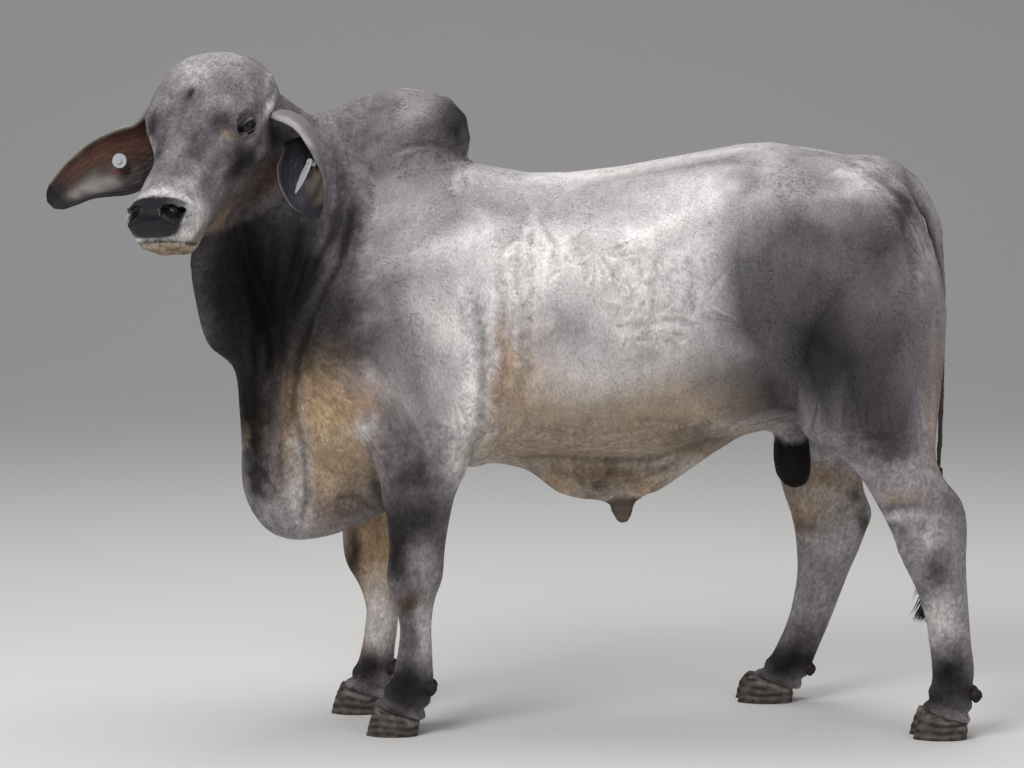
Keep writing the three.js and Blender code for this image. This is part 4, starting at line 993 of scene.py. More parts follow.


# Bands of tone: height and over how much they come in, for the belly and for the lower leg; middle and
# half-height of the dark fetlock; then by regions, with strength and tone, a negative reach coming in upwards
# The belly's band is tan coat with painted shade underneath
toneBands = {"belly": (760, 80), "leg": (640, 60), "paleLeg": (620, 60), "fetlock": (112, 44)}
regionBands = [
    (("tail",), 1400, 60, 0.85, "charcoal"), (("dewlap",), 700, -200, 0.3, "charcoal"),
    # The sheath tip's brown below 590 is brown skin with painted shade beneath the sheath
    (("scrotumLeft", "scrotumRight"), 716, 16, 1.0, "soot"), (("sheathTip",), 590, 40, 0.9, "brown"),
]


# The share of a band at a height: (its height - z) / reach, held between 0 and 1
def bandShare(z, height, reach):
    return clamp((height - z) / reach)


# Layers of tone over body and legs, each a share for every point: spots, then bands by height and region,
# then painted shade in the folds
def bodyLayers(points, region, wander, headMask):
    places = sideView(points)
    yield 0.7 * bell((points[:, 0] - 250) / 420), "silver"
    for middle, reach, tone, strength in (spot for group in patches.values() for spot in group):
        yield strength * spotCover(places + wander, middle, reach, 1.4), tone
    z = points[:, 2]
    # Painted shade under the belly: sand coming in below 760 mm on trunk and sheath fold, over tan coat
    yield bandShare(z, *toneBands["belly"]) * np.isin(region, ["trunk", "sheathFold"]) * 0.5, "sand"
    leg = np.isin(region, list(feet)) & (z < toneBands["leg"][0])
    z = z + 14 * wobble(points, 26.0, 3.0)
    yield leg * bandShare(z, *toneBands["paleLeg"]) * 0.9, "steel"
    ownPlaces = sideView(points, False) + wander * 0.7
    for name, marks in legMarks.items():
        own = (region == name) * bandShare(z, *toneBands["leg"])
        far = feet[name]["y"] > 0
        own = own * np.where(far, clamp(1.2 - (points[:, 1] - feet[name]["y"]) / 30), 1.0)
        for middle, reach, tone, strength in marks:
            yield own * strength * spotCover(ownPlaces, middle, reach, 1.3), tone
    middle, half = toneBands["fetlock"]
    yield leg * bell((z - middle) / half) * 0.85, "soot"
    for names, height, reach, strength, tone in regionBands:
        yield np.isin(region, names) * strength * bandShare(z, height, reach), tone
    # Painted shade in the folds: soot by the depth of each fold, up to half, not on the head
    yield np.clip(-foldDepth(places, points) / 16, 0, 0.5) * (1 - headMask), "soot"


# Layers of tone over the face in the head's frame: spots, the pad's pale ring, lips, flecks, nostrils black
# as painted shade, the mouth's line dark with painted shade
def faceLayers(points, local, wander, headMask, wet, nostril):
    own = local + np.stack([wander[:, 0], wander[:, 1], wander[:, 0] - wander[:, 1]], -1) * 0.9
    own[:, 1] = np.abs(own[:, 1])
    yield headMask, "steel"
    yield headMask * (0.45 + 0.4 * wobble(points, 22.0, 9.0)), "slate"
    yield headMask * np.clip((-60 - own[:, 2]) / 60, 0, 0.6), "brown"
    for middle, size, tone, strength in faceMarks:
        yield headMask * strength * spotCover(own, middle, size, 1.2), tone
    depth = padDepth(local + 0.3 * (own - local) * np.array([1, 0, 1]))
    mouth = mouthHeight(local)
    below = headMask * clamp((mouth - local[:, 2]) / 3) * clamp((-410 - local[:, 0]) / 20)
    ring = headMask * clamp(1.3 - np.abs(depth + 15) / 14) * (depth < 4)
    yield ring * np.where(local[:, 2] > 34, 0.5, 0.9), "pale"
    yield ring * np.where(local[:, 2] > 20, 0.1, 0.7), "silver"
    yield below * 0.9, "sand"
    yield below * 0.7 * clamp((local[:, 2] - mouth + 22) / 16), "cream"
    fleck = clamp((wobble(points, 4.2, 1.0) * wobble(points, 3.1, 4.0) - 0.12) * 5)
    yield headMask * fleck * clamp(1 - np.abs(depth + 5) / 7) * (local[:, 2] < 40) * 0.8, "black"
    yield below * fleck * 0.7, "brown"
    wet[:] = headMask * clamp(depth / 3 + 0.5) * (local[:, 2] > mouth + 2)
    yield wet, "pad"
    yield wet * fleck * 0.5, "black"
    # Painted shade in the nostrils: black over their holes
    yield nostril, "black"
    wet[:] = wet * (1 - nostril)
    # A dark line along the mouth: dark lip with painted shade in the mouth's slit
    seam, share = fromLine(local[:, [0, 2]], mouthLine)
    yield headMask * bell(seam / 3.2) * clamp((1 - share) * 4) * (local[:, 0] < -420) * 0.9, "soot"


# The height of the mouth's line below each point of the face, straight between its places
def mouthHeight(local):
    return np.interp(local[:, 0], [p[0] for p in mouthLine], [p[1] for p in mouthLine])


# The coat's colour at each point, its own grey covered by every layer, painted shade among them, and then
# dappled; and how wet it is
def coatColour(points):
    local = toHead(points)
    shares = formShares(points)
    nearest = np.stack([shares[n] for n in forms])
    region = np.array(list(forms))[nearest.argmin(0)]
    headMask = inHeadBox(local, 90, 190, 220) * clamp((1.5 - shares["skull"]) / 0.3)
    headMask = headMask * clamp((80 - local[:, 0]) / 30)
    wander = wandering(points)
    colour = np.tile(tones["steel"] * 1.15, (len(points), 1))
    for mask, tone in bodyLayers(points, region, wander, headMask):
        colour = covered(colour, mask, tones[tone])
    half = np.stack([local[:, 0], np.abs(local[:, 1]), local[:, 2]], -1)
    # The nostrils' holes, where black is painted as their shade
    hole, _ = fromLine(half, nostrilLine)
    nostril = headMask * clamp((13 - hole) / 5)
    wet = np.zeros(len(points))
    for mask, tone in faceLayers(points, local, wander, headMask, wet, nostril):
        colour = covered(colour, mask, tones[tone])
    dapple = 1 + 0.14 * wobble(points, 9.0, 2.5) + 0.12 * wobble(points, 4.0, 6.5)
    speck = np.abs(np.sin(points @ np.array([12.9898, 78.233, 37.719]))) * 43758.5453 % 1 - 0.5
    colour = colour * np.where(wet > 0.5, 1.0, dapple * (1 + 0.5 * speck))[:, None]
    return np.clip(colour, 0.003, 0.9), wet


# Adds a value or colour for each point of a mesh
def addAttribute(piece, name, values):
    values = np.asarray(values, np.float32)
    if values.ndim == 1:
        layer = piece.data.attributes.new(name, "FLOAT", "POINT")
        layer.data.foreach_set("value", values)
    else:
        layer = piece.data.color_attributes.new(name, "FLOAT_COLOR", "POINT")
        full = np.concatenate([values, np.ones((len(values), 1), np.float32)], 1)
        layer.data.foreach_set("color", full.ravel())


# Each named socket of a node takes a constant, or a link from another node's socket
def feed(tree, node, sockets):
    for name, value in sockets.items():
        if isinstance(value, bpy.types.NodeSocket):
            tree.links.new(value, node.inputs[name])
        else:
            node.inputs[name].default_value = value
    return node


# A new node of a kind, with the operation it is to do and its sockets fed
def addNode(tree, kind, sockets, operation=None):
    node = tree.nodes.new(kind)
    if operation:
        node.operation = operation
    return feed(tree, node, sockets)


# Fine grain of a finish: noise of two sizes, 0.7 fine + 0.3 broad, scales the colour from 1 - fleck to
# 1 + fleck and is the height, and 0.12 * fine is taken off the dullness
def grainGroup():
    group = bpy.data.node_groups.new("hairGrain", "ShaderNodeTree")
    face = group.interface
    face.new_socket("Colour", in_out="INPUT", socket_type="NodeSocketColor")
    for name, value in (("Size", 160.0), ("Fleck", 0.35), ("Dullness", 0.72)):
        face.new_socket(name, in_out="INPUT", socket_type="NodeSocketFloat").default_value = value
    face.new_socket("Colour", in_out="OUTPUT", socket_type="NodeSocketColor")
    face.new_socket("Roughness", in_out="OUTPUT", socket_type="NodeSocketFloat")
    face.new_socket("Height", in_out="OUTPUT", socket_type="NodeSocketFloat")
    given, result = group.nodes.new("NodeGroupInput").outputs, group.nodes.new("NodeGroupOutput")
    place = group.nodes.new("ShaderNodeTexCoord").outputs["Object"]
    combed = addNode(group, "ShaderNodeMapping", {"Vector": place, "Scale": (1.0, 1.0, 0.45)}).outputs[0]
    fine = addNode(group, "ShaderNodeTexNoise", {
        "Vector": combed, "Scale": given["Size"], "Detail": 5.0, "Roughness": 0.75}).outputs["Fac"]
    broadSize = addNode(group, "ShaderNodeMath", {0: given["Size"], 1: 0.14}, "MULTIPLY").outputs[0]
    broad = addNode(group, "ShaderNodeTexNoise", {
        "Vector": combed, "Scale": broadSize, "Detail": 3.0}).outputs["Fac"]
    broadShare = addNode(group, "ShaderNodeMath", {0: broad, 1: 0.3}, "MULTIPLY").outputs[0]
    both = addNode(group, "ShaderNodeMath", {0: fine, 1: 0.7, 2: broadShare}, "MULTIPLY_ADD").outputs[0]
    low = addNode(group, "ShaderNodeMath", {0: 1.0, 1: given["Fleck"]}, "SUBTRACT").outputs[0]
    high = addNode(group, "ShaderNodeMath", {0: 1.0, 1: given["Fleck"]}, "ADD").outputs[0]
    spread = addNode(group, "ShaderNodeMapRange", {
        "Value": both, "From Min": 0.32, "From Max": 0.68, "To Min": low, "To Max": high}).outputs["Result"]
    tinted = addNode(group, "ShaderNodeVectorMath", {0: given["Colour"], "Scale": spread}, "SCALE")
    dull = addNode(group, "ShaderNodeMath", {0: fine, 1: -0.12, 2: given["Dullness"]}, "MULTIPLY_ADD")
    feed(group, result, {"Colour": tinted.outputs["Vector"], "Roughness": dull.outputs[0], "Height": both})
    return group


grain = grainGroup()


# A finish read from a colour layer: grain group into a Principled shader. Where a wet mask is given,
# roughness goes to 0.42 and the clear coat to 0.3 by the mask
def hideFinish(name, layer, size=220.0, fleck=0.42, dullness=0.76, lift=0.3, wet=None, coat=0.0):
    material = bpy.data.materials.new(name)
    material.use_nodes = True
    tree = material.node_tree
    source = tree.nodes.new("ShaderNodeAttribute")
    source.attribute_name = layer
    texture = tree.nodes.new("ShaderNodeGroup")
    texture.node_tree = grain
    feed(tree, texture, {
        "Colour": source.outputs["Color"], "Size": size, "Fleck": fleck, "Dullness": dullness})
    bump = addNode(tree, "ShaderNodeBump", {
        "Strength": lift, "Distance": 0.002, "Height": texture.outputs["Height"]})
    shader = feed(tree, tree.nodes["Principled BSDF"], {
        "Base Color": texture.outputs["Colour"], "Roughness": texture.outputs["Roughness"],
        "Normal": bump.outputs["Normal"], "Specular IOR Level": 0.13,
        "Coat Weight": coat, "Coat Roughness": 0.18})
    if wet:
        mask = tree.nodes.new("ShaderNodeAttribute")
        mask.attribute_name = wet
        smooth = addNode(tree, "ShaderNodeMix", {
            0: mask.outputs["Fac"], 2: texture.outputs["Roughness"], 3: 0.42})
        glaze = addNode(tree, "ShaderNodeMath", {0: mask.outputs["Fac"], 1: 0.3}, "MULTIPLY")
        feed(tree, shader, {"Roughness": smooth.outputs[0], "Coat Weight": glaze.outputs[0]})
    return material


skinPoints, skinQuads, skinWeight = skinMesh()
skinPoints, skinTris = thinned(skinPoints, skinQuads, skinWeight, skinSizes["triangles"])
print("skin thinned", len(skinTris), "triangles", round(time.time() - started, 1))
skin = makePiece("skin", skinPoints, [skinTris])
skinColour, skinWet = coatColour(skinPoints)
# The hide colour carries the painted shade of folds, neck, belly, sheath and face
addAttribute(skin, "hide", skinColour)
addAttribute(skin, "wet", skinWet)
skin.data.materials.append(hideFinish("hide", "hide", wet="wet"))
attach(skin, "root")
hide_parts("torso", "hump", "neck", "dewlap", "head", "nose_pad", "sheath", "scrotum", "tail",
            "fore_left_leg", "fore_right_leg", "hind_left_leg", "hind_right_leg")


# Steps along and across the wall of an ear, its greatest thickness in mm, the share of it at the edge and the
# rest of it inside, how it thins towards the tip, the rolled rim's share, place and width, and a low wave
earGrid = {"along": 96, "across": 41}
earWall = {"thickest": 16, "edge": 0.12, "body": 0.26, "thinning": 0.55,
           "rim": 0.5, "rimAt": 0.9, "rimWidth": 0.07, "wave": 1.2}


# An ear as a closed wall: across it bends through an angle on each side, along it follows its middle line.
# Sideways it stands at reach * sin(angle), and towards the opening at -cup * (cos(angle) - cos(last angle))
def earShell(rows, wrap):
    at, along, opening, across, reach, cup, thick = earAxes(rows, earGrid["along"])
    t = np.linspace(0, 1, earGrid["along"])
    left, right = (np.radians(np.interp(t, wrap["at"], wrap[name]))[:, None] for name in ("left", "right"))
    s = np.linspace(-1, 1, earGrid["across"])[None]
    angle = np.where(s < 0, s * left, s * right)
    last = np.where(s < 0, left, right)
    full = np.sin(np.minimum(last, np.pi / 2))
    low = np.cos(np.minimum(last, np.pi / 2))
    beside = reach[:, None] * np.sin(angle) / full
    ahead = -cup[:, None] * (np.cos(angle) - low) / (1 - low)
    wave = earWall["wave"] * np.sin(s * 8 + 5 * t[:, None])
    ahead = ahead + wave * np.sin(np.pi * t)[:, None] * (1 - s ** 2)
    alongS = np.gradient(beside, axis=1), np.gradient(ahead, axis=1)
    size = np.hypot(*alongS)
    outX, outZ = -alongS[1] / size, alongS[0] / size
    edge = clamp((1 - np.abs(s)) / 0.12)
    wall = np.minimum(thick[:, None], earWall["thickest"])
    wall = wall * (earWall["edge"] + earWall["body"] * np.sqrt(edge))
    wall = wall * (1 - earWall["thinning"] * t[:, None])
    wall = wall * (1 + earWall["rim"] * bell((np.abs(s) - earWall["rimAt"]) / earWall["rimWidth"]))
    inner = np.stack([beside + outX * wall, ahead + outZ * wall], -1)
    outer = np.stack([beside - outX * wall, ahead - outZ * wall], -1)[:, ::-1]
    both = np.concatenate([inner, outer], 1)
    points = at[:, None] + across[:, None] * both[..., :1] + opening[:, None] * both[..., 1:]
    shape = points.shape[:2]
    place = np.broadcast_to(np.concatenate([s[0], s[0][::-1]])[None], shape)
    inside = np.broadcast_to(np.repeat([1.0, 0.0], earGrid["across"])[None], shape)
    return points, inside * clamp((1 - np.abs(place)) / 0.08), place, np.broadcast_to(t[:, None], shape)


earLooks = {
    "near": {"name": "ear_near", "node": "ear_left", "outer": (112, 107, 111),
             "wrap": {"at": (0, 0.2, 0.4, 0.6, 0.8, 1.0), "left": (100, 96, 90, 86, 78, 64),
                      "right": (130, 116, 104, 104, 90, 70)}},
    "far": {"name": "ear_far", "node": "ear_right", "outer": (112, 104, 104),
            "wrap": {"at": (0, 0.3, 0.6, 1.0), "left": (118, 100, 84, 60), "right": (100, 84, 74, 60)}},
}

# Marks of each ear: outside 0, inside 1 or both 2, place across and along, size, tone, strength
earMarks = {
    "near": [
        # Inside, the near-black marks low in the cup are dark skin with painted shade
        (1, (0.0, 0.3), (1.6, 0.55), (14, 12, 12), 1.0), (1, (-0.75, 0.55), (0.38, 0.4), (52, 53, 62), 0.9),
        (1, (0.45, 0.5), (0.2, 0.2), (84, 52, 40), 0.85),
        (1, (0.62, 0.62), (0.16, 0.1), (168, 128, 108), 0.8),
        (1, (0.3, 0.78), (0.5, 0.12), (150, 138, 124), 0.8),
        (1, (-0.5, 0.8), (0.5, 0.14), (58, 58, 66), 0.8),
        (0, (0.95, 0.35), (0.12, 0.34), (172, 168, 170), 0.8),
        (0, (0.5, 0.4), (0.3, 0.4), (124, 118, 122), 0.5), (0, (0.9, 0.62), (0.2, 0.1), (70, 64, 70), 0.6),
        (2, (0.0, 0.97), (3.0, 0.09), (38, 36, 42), 0.95),
    ],
    "far": [
        # Inside, the darkest marks are dark skin with painted shade in the cup
        (1, (0.0, 0.25), (1.6, 0.34), (44, 27, 22), 0.97),
        (1, (-0.45, 0.52), (0.46, 0.34), (96, 64, 54), 0.85),
        (1, (0.75, 0.4), (0.42, 0.5), (26, 22, 24), 1.0), (1, (0.2, 0.2), (0.5, 0.16), (30, 24, 24), 0.8),
        (1, (0.35, 0.72), (0.34, 0.2), (146, 140, 138), 0.85),
        (1, (0.5, 0.3), (0.5, 0.26), (20, 17, 18), 0.95), (1, (0.84, 0.55), (0.18, 0.5), (22, 19, 20), 0.9),
        (1, (0.14, 0.56), (0.07, 0.05), (126, 70, 70), 0.7),
        (2, (-0.98, 0.5), (0.16, 0.5), (158, 149, 138), 0.85),
        (0, (-0.6, 0.1), (0.5, 0.18), (84, 76, 74), 0.8), (2, (1.0, 0.6), (0.22, 0.6), (34, 30, 34), 0.9),
        (2, (0.0, 0.97), (3.0, 0.08), (34, 32, 36), 0.95),
    ],
}


# Ear colour: hide outside, dark skin inside with painted shade in its cup, covered by strength *
# e^(-(d^2)^1.3) of each mark and by pale streaks
def earColour(points, inside, place, length, look, marks):
    flat = points.reshape(-1, 3)
    inside, place, length = (v.reshape(-1) for v in (inside, place, length))
    mottle = 1 + 0.12 * wobble(flat, 16.0, 2.0) + 0.08 * wobble(flat, 5.0, 4.0)
    colour = light(look["outer"]) * mottle[:, None]
    colour = covered(colour, inside, light((50, 42, 40)))
    wander = 0.06 * wobble(flat, 12.0, 1.0)
    for where, middle, size, tone, strength in marks:
        away = ((place + wander - middle[0]) / size[0]) ** 2 + ((length + wander - middle[1]) / size[1]) ** 2
        own = inside if where == 1 else 1 - inside if where == 0 else 1.0
        colour = covered(colour, own * strength * np.exp(-away ** 1.3), light(tone))
    streak = clamp(np.sin(place * 46 + 3.0 * wobble(flat, 22.0, 1.0)) - 0.4)
    streak = inside * streak * 0.2 * (length > 0.35) * (length < 0.92)
    return np.clip(covered(colour, streak, light((150, 138, 126))), 0.003, 0.9)


# Many tapering locks as one mesh: rings of four at path + radius * (cos across + sin over), closed at the
# root and drawn to a point
def lockTubes(paths, radii):
    n, k = radii.shape
    along = unit(np.gradient(paths, axis=1))
    reference = np.where(np.abs(along[..., 2:3]) > 0.9, np.array([1.0, 0, 0]), np.array([0, 0, 1.0]))
    across = unit(np.cross(along, reference))
    over = np.cross(along, across)
    angle = np.radians([45, 135, 225, 315])
    ring = across[:, :, None] * np.cos(angle)[:, None] + over[:, :, None] * np.sin(angle)[:, None]
    body = (paths[:, :-1, None] + ring[:, :-1] * radii[:, :-1, None, None]).reshape(n, -1, 3)
    points = np.concatenate([body, paths[:, -1:]], 1)
    size = points.shape[1]
    base = (np.arange(n) * size)[:, None, None]
    q = np.concatenate([ringQuads(k - 1, 4), [[3, 2, 1, 0]]])
    last = (k - 2) * 4
    t = np.stack([last + np.arange(4), last + (np.arange(4) + 1) % 4, np.full(4, size - 1)], -1)
    return points.reshape(-1, 3), [(q[None] + base).reshape(-1, 4), (t[None] + base).reshape(-1, 3)], size


# Paths that start at roots: way * t * length - sag * length * t^2, with a waver of t * sin(phase + 7 t)
def lockPaths(roots, ways, lengths, steps, sag, waver):
    t = np.linspace(0, 1, steps)[None, :, None]
    length = np.asarray(lengths)[:, None, None]
    paths = roots[:, None] + ways[:, None] * t * length
    paths[..., 2] -= (sag * length * t ** 2)[..., 0]
    phase = dice.uniform(0, 6.28, (len(roots), 1, 3))
    return paths + waver * t * np.sin(phase + t * 7.0)


# One piece of locks with a colour for each lock, a little lighter or darker than the next
def lockPiece(name, paths, radii, tone, spread):
    points, faces, size = lockTubes(paths, radii)
    piece = makePiece(name, points, faces)
    shade = dice.normal(1.0, spread, (len(paths), 1))
    colour = np.clip(np.repeat(light(tone)[None] * shade, size, axis=0), 0.004, 0.9)
    addAttribute(piece, "hide", colour)
    piece.data.materials.append(lockFinish)
    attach(piece, "root")
    return piece


lockFinish = hideFinish("longHair", "hide", size=240.0, fleck=0.2, dullness=0.62, lift=0.1)
earFinish = hideFinish("earSkin", "hide", size=190.0, fleck=0.22, dullness=0.7, lift=0.3)

for which, look in earLooks.items():
    points, inside, place, length = earShell(earStations[which], look["wrap"])
    tube, faces = closedTube(points)
    ear = makePiece(look["name"], tube, faces)
    colour = earColour(points, inside, place, length, look, earMarks[which])
    addAttribute(ear, "hide", withEnds(colour))
    ear.data.materials.append(earFinish)
    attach(ear, "root")
    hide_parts(look["node"])
print("ears made")


# The eye's look: the cornea's bulge and its angle, the pupil's half-sizes, the iris's radius, and the colours
eyeLook = {"bulge": 0.05, "bulgeAngle": 0.45, "pupilWide": 0.34, "pupilTall": 0.17, "iris": 0.60,
           "dark": (18, 15, 14), "irisTone": (26, 18, 13), "pupilTone": (8, 8, 12), "back": (40, 32, 30)}


# A ball about the way the eye looks: its front bulges by 1 + 0.05 e^(-(angle / 0.45)^2) as the cornea, and
# its colour follows the angle from that way
def eyeBall(side):
    at, look, level, upright = eyeFrame(side)
    theta = np.linspace(0.02, np.pi - 0.02, 60)[:, None, None]
    phi = np.linspace(0, 2 * np.pi, 64, endpoint=False)[None, :, None]
    radius = eyeGeometry["radius"] * (1 + eyeLook["bulge"] * bell(theta / eyeLook["bulgeAngle"]))
    outward = level * np.cos(phi) + upright * np.sin(phi)
    grid = at + radius * (look * np.cos(theta) + np.sin(theta) * outward)
    x, y = np.sin(theta) * np.cos(phi), np.sin(theta) * np.sin(phi)
    pupil = clamp((1 - np.sqrt((x / eyeLook["pupilWide"]) ** 2 + (y / eyeLook["pupilTall"]) ** 2)) * 6)
    iris = clamp((eyeLook["iris"] - np.sqrt(x ** 2 + y ** 2)) * 12)
    fibres = 0.8 + 0.2 * np.sin(phi * 37 + 3 * np.sin(phi * 5))
    colour = light(eyeLook["dark"]) * (1 - iris) + light(eyeLook["irisTone"]) * iris * fibres
    colour = colour * (1 - pupil) + light(eyeLook["pupilTone"]) * pupil
    return grid, np.where(theta < 1.5, colour, light(eyeLook["back"]))


# Lids: rows from the eye's almond outwards over a rim and a fold, each as a share of the almond's size, and
# how proud of the ball it stands in mm; a crease in the upper and in the lower lid as share, width, depth
lidShape = {"reach": (0.90, 0.97, 1.05, 1.18, 1.36, 1.6, 1.95, 2.4),
            "proud": (-1.0, 1.0, 2.6, 3.4, 2.4, 1.8, 0.2, -4.0),
            "upperCrease": (1.42, 0.06, 1.6), "lowerCrease": (1.5, 0.07, 0.9)}


# Lid points: on the ball at sqrt(radius^2 - d^2) + proud, blending outwards to a plane along the face
def lids(side):
    at, look, level, upright = eyeFrame(side)
    phi = np.linspace(0, 2 * np.pi, 72, endpoint=False)
    s, c = np.sin(phi), np.cos(phi)
    tall = np.where(s > 0, eyeGeometry["upper"], eyeGeometry["lower"])
    t = np.linspace(0, len(lidShape["reach"]) - 1, 34)
    reach = np.interp(t, range(len(lidShape["reach"])), lidShape["reach"])[:, None]
    proud = np.interp(t, range(len(lidShape["proud"])), lidShape["proud"])[:, None]
    x = eyeGeometry["long"] * np.sign(c) * np.abs(c) ** 1.15 * reach
    y = tall * s * reach + 2.0 * clamp(s) * (reach > 1.1)
    away = np.sqrt(x ** 2 + y ** 2)
    ball = np.sqrt(np.maximum(eyeGeometry["radius"] ** 2 - away ** 2, 0)) + proud
    crease = 0.0
    for name, part in (("upperCrease", clamp(s)), ("lowerCrease", clamp(-s))):
        share, width, deep = lidShape[name]
        crease = crease - deep * bell((reach - share) / width) * part
    flatRise = 13.5 - 0.0035 * away ** 2 + proud
    blend = clamp((reach - 1.2) / 0.6)
    rise = (ball * (1 - blend) + flatRise * blend + crease)[..., None]
    x, y = x[..., None], y[..., None]
    blend = clamp((reach - 1.1) / 0.8)[..., None]
    _, lie, flatLevel, flatUpright = eyeFrame(side, "lie")
    inner = level * x + upright * y + look * rise
    return at + inner * (1 - blend) + (flatLevel * x + flatUpright * y + lie * rise) * blend, reach


eyeFinish = hideFinish("eyeGloss", "hide", size=60.0, fleck=0.05, dullness=0.16, lift=0.0, coat=0.4)
lidFinish = hideFinish("lidSkin", "hide", size=220.0, fleck=0.15, dullness=0.6, lift=0.3)
for side, which, node in ((-1, "left", "eye_left"), (1, "right", "eye_right")):
    grid, colour = eyeBall(side)
    points, faces = closedTube(grid)
    eye = makePiece("eyeball_" + which, fromHead(points), faces)
    addAttribute(eye, "hide", withEnds(colour.reshape(-1, 3)))
    eye.data.materials.append(eyeFinish)
    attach(eye, "root")
    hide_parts(node)
    grid, reach = lids(side)
    quads = ringQuads(*grid.shape[:2])
    if side > 0:
        quads = quads[:, ::-1]
    points = fromHead(grid.reshape(-1, 3))
    lid = makePiece("lids_" + which, points, [quads])
    edge = np.repeat(reach.reshape(-1), grid.shape[1])
    dark = bell((edge - 0.98) / 0.14)[:, None]
    base, _ = coatColour(points)
    addAttribute(lid, "hide", base * (1 - dark) + light((20, 17, 17)) * dark)
    lid.data.materials.append(lidFinish)
    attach(lid, "root")
print("eyes made")

hoofTones = {"horn": (88, 79, 74), "pale": (142, 134, 130), "dark": (50, 44, 41)}
# Level slices of a claw: height, how far its front and rear stand behind toe and heel, half-width, tip in
# degrees. The two uppermost fronts stand behind the toe by the crown's lean as well
clawSlices = [
    (96, 8, 4, 22, 14), (66, -1, 3, 25.5, 14), (40, 13, 3, 27, 8), (14, 3, 2, 28, 0), (0.4, 0, 0, 27.5, 0),
]
clawShape = {"leaning": 60, "apart": 28, "closing": 0.02, "taper": 0.42, "around": 40, "along": 46}


# A claw: the swept slices, their width cut by 1 - 0.42 * forward^2.4 and ringed by two sines of the height
def claw(foot, hand):
    rows = []
    for z, ahead, behind, side, tip in clawSlices:
        front = foot["toe"] + ahead + (foot["lean"] if z > clawShape["leaning"] else 0)
        rear = foot["heel"] + behind
        y = foot["y"] + hand * (clawShape["apart"] - z * clawShape["closing"])
        half = (rear - front) / 2
        rows.append(((front + rear) / 2, y, z, half, half, side, 0, 90 + tip, 0, 2.2, 2.1))
    grid = sweep(rows, clawShape["around"], clawShape["along"])
    middle = grid.mean(1, keepdims=True)
    away = grid - middle
    half = np.abs(away[..., 0:1]).max(1, keepdims=True)
    forward = clamp(-away[..., 0:1] / half)
    away[..., 1:2] *= 1 - clawShape["taper"] * forward ** 2.4
    rings = 0.35 * np.sin(grid[..., 2:3] * 0.9 + 2 * forward) + 0.5 * np.sin(grid[..., 2:3] * 0.31 + 1.2)
    rings *= clamp(grid[..., 2:3] / 8)
    away[..., :2] *= 1 + rings / 40
    grid = middle + away
    grid[..., 2] = np.minimum(grid[..., 2], crownHeight(foot, grid[..., 0]) + 9)
    return grid


# Horn colour: bands of dark horn by a sine of the height, and a broken pale rim e^(-(h / 6)^2) at the crown
def hornColour(points, foot):
    z = points[:, 2]
    bands = 0.5 + 0.5 * np.sin(z * 0.35 + 2 * wobble(points, 25.0, 3.0))
    rim = 0.5 * bell((z - crownHeight(foot, points[:, 0])) / 6) * (wobble(points, 9.0, 5.0) > 0)
    pale = np.clip(rim + 0.2 * clamp(wobble(points, 7.0, 5.0) * 3), 0, 0.7)
    colour = covered(np.tile(light(hoofTones["horn"]), (len(points), 1)), bands, light(hoofTones["dark"]))
    return covered(colour, pale, light(hoofTones["pale"]))


# A dewclaw filling a box: a ball of half-sizes, narrower by 0.35 below and ridged by 1 + 0.03 sin(16 angle)
def dewclaw(low, high):
    middle, half = (low + high) / 2, (high - low) / 2
    theta = np.linspace(0.01, np.pi - 0.01, 26)[:, None]
    phi = np.linspace(0, 2 * np.pi, 28, endpoint=False)[None]
    broad = np.sin(theta) * (1 - 0.35 * clamp(-np.cos(theta))) * (1 + 0.03 * np.sin(theta * 16))
    tall = np.cos(theta) + 0 * phi
    return np.stack([broad * np.cos(phi), broad * np.sin(phi), tall], -1) * half + middle


hornFinish = hideFinish("hoofHorn", "hide", size=90.0, fleck=0.35, dullness=0.62, lift=0.35)
for label, foot in feet.items():
    name = label.replace("L", "_l").replace("R", "_r")
    for hand in (1, -1):
        outer = (hand > 0) == (foot["y"] > 0)
        points, faces = closedTube(claw(foot, hand))
        hoof = makePiece("hoof_" + name + ("_outer" if outer else "_inner"), points, faces)
        addAttribute(hoof, "hide", hornColour(points, foot))
        hoof.data.materials.append(hornFinish)
        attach(hoof, "root")
        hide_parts(name + ("_outer_claw" if outer else "_inner_claw"))
    for part in ("inner", "outer"):
        low, high = (np.array(c) * 1000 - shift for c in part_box(f"{name}_{part}_dewclaw"))
        points, faces = closedTube(dewclaw(low, high))
        dew = makePiece(f"dewclaw_{name}_{part}", points, faces)
        shade = (0.9 + 0.4 * wobble(points, 6.0, 1.0))[:, None]
        addAttribute(dew, "hide", light(hoofTones["dark"]) * shade)
        dew.data.materials.append(hornFinish)
        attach(dew, "root")
        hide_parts(f"{name}_{part}_dewclaw")
print("hooves made")

# The switch: locks rooted up the end of the tail, spreading a little and curling in towards their tips
switch = {"locks": 150, "from": 640.0, "to": 430.0, "length": (210.0, 330.0), "tone": (58, 52, 52),
          "lowest": 246, "ring": 7, "radius": 4.6, "waver": 3.5, "curl": 30, "steps": 9, "spread": 0.3}
share = dice.uniform(0, 1, switch["locks"]) ** 0.8
rootZ = switch["from"] + (switch["to"] - switch["from"]) * share
turn = dice.uniform(0, 2 * np.pi, switch["locks"])
tailRows = alongStations(forms["tail"], 200)
rootX = atHeight(tailRows, rootZ, 0)
roots = np.stack([rootX + switch["ring"] * np.cos(turn), switch["ring"] * np.sin(turn), rootZ], -1)
ways = unit(np.stack([0.05 * np.cos(turn) - 0.01, 0.05 * np.sin(turn), -np.ones_like(turn)], -1))
lengths = np.minimum(dice.uniform(*switch["length"], switch["locks"]), rootZ - switch["lowest"])
steps = np.linspace(0, 1, switch["steps"])[None]
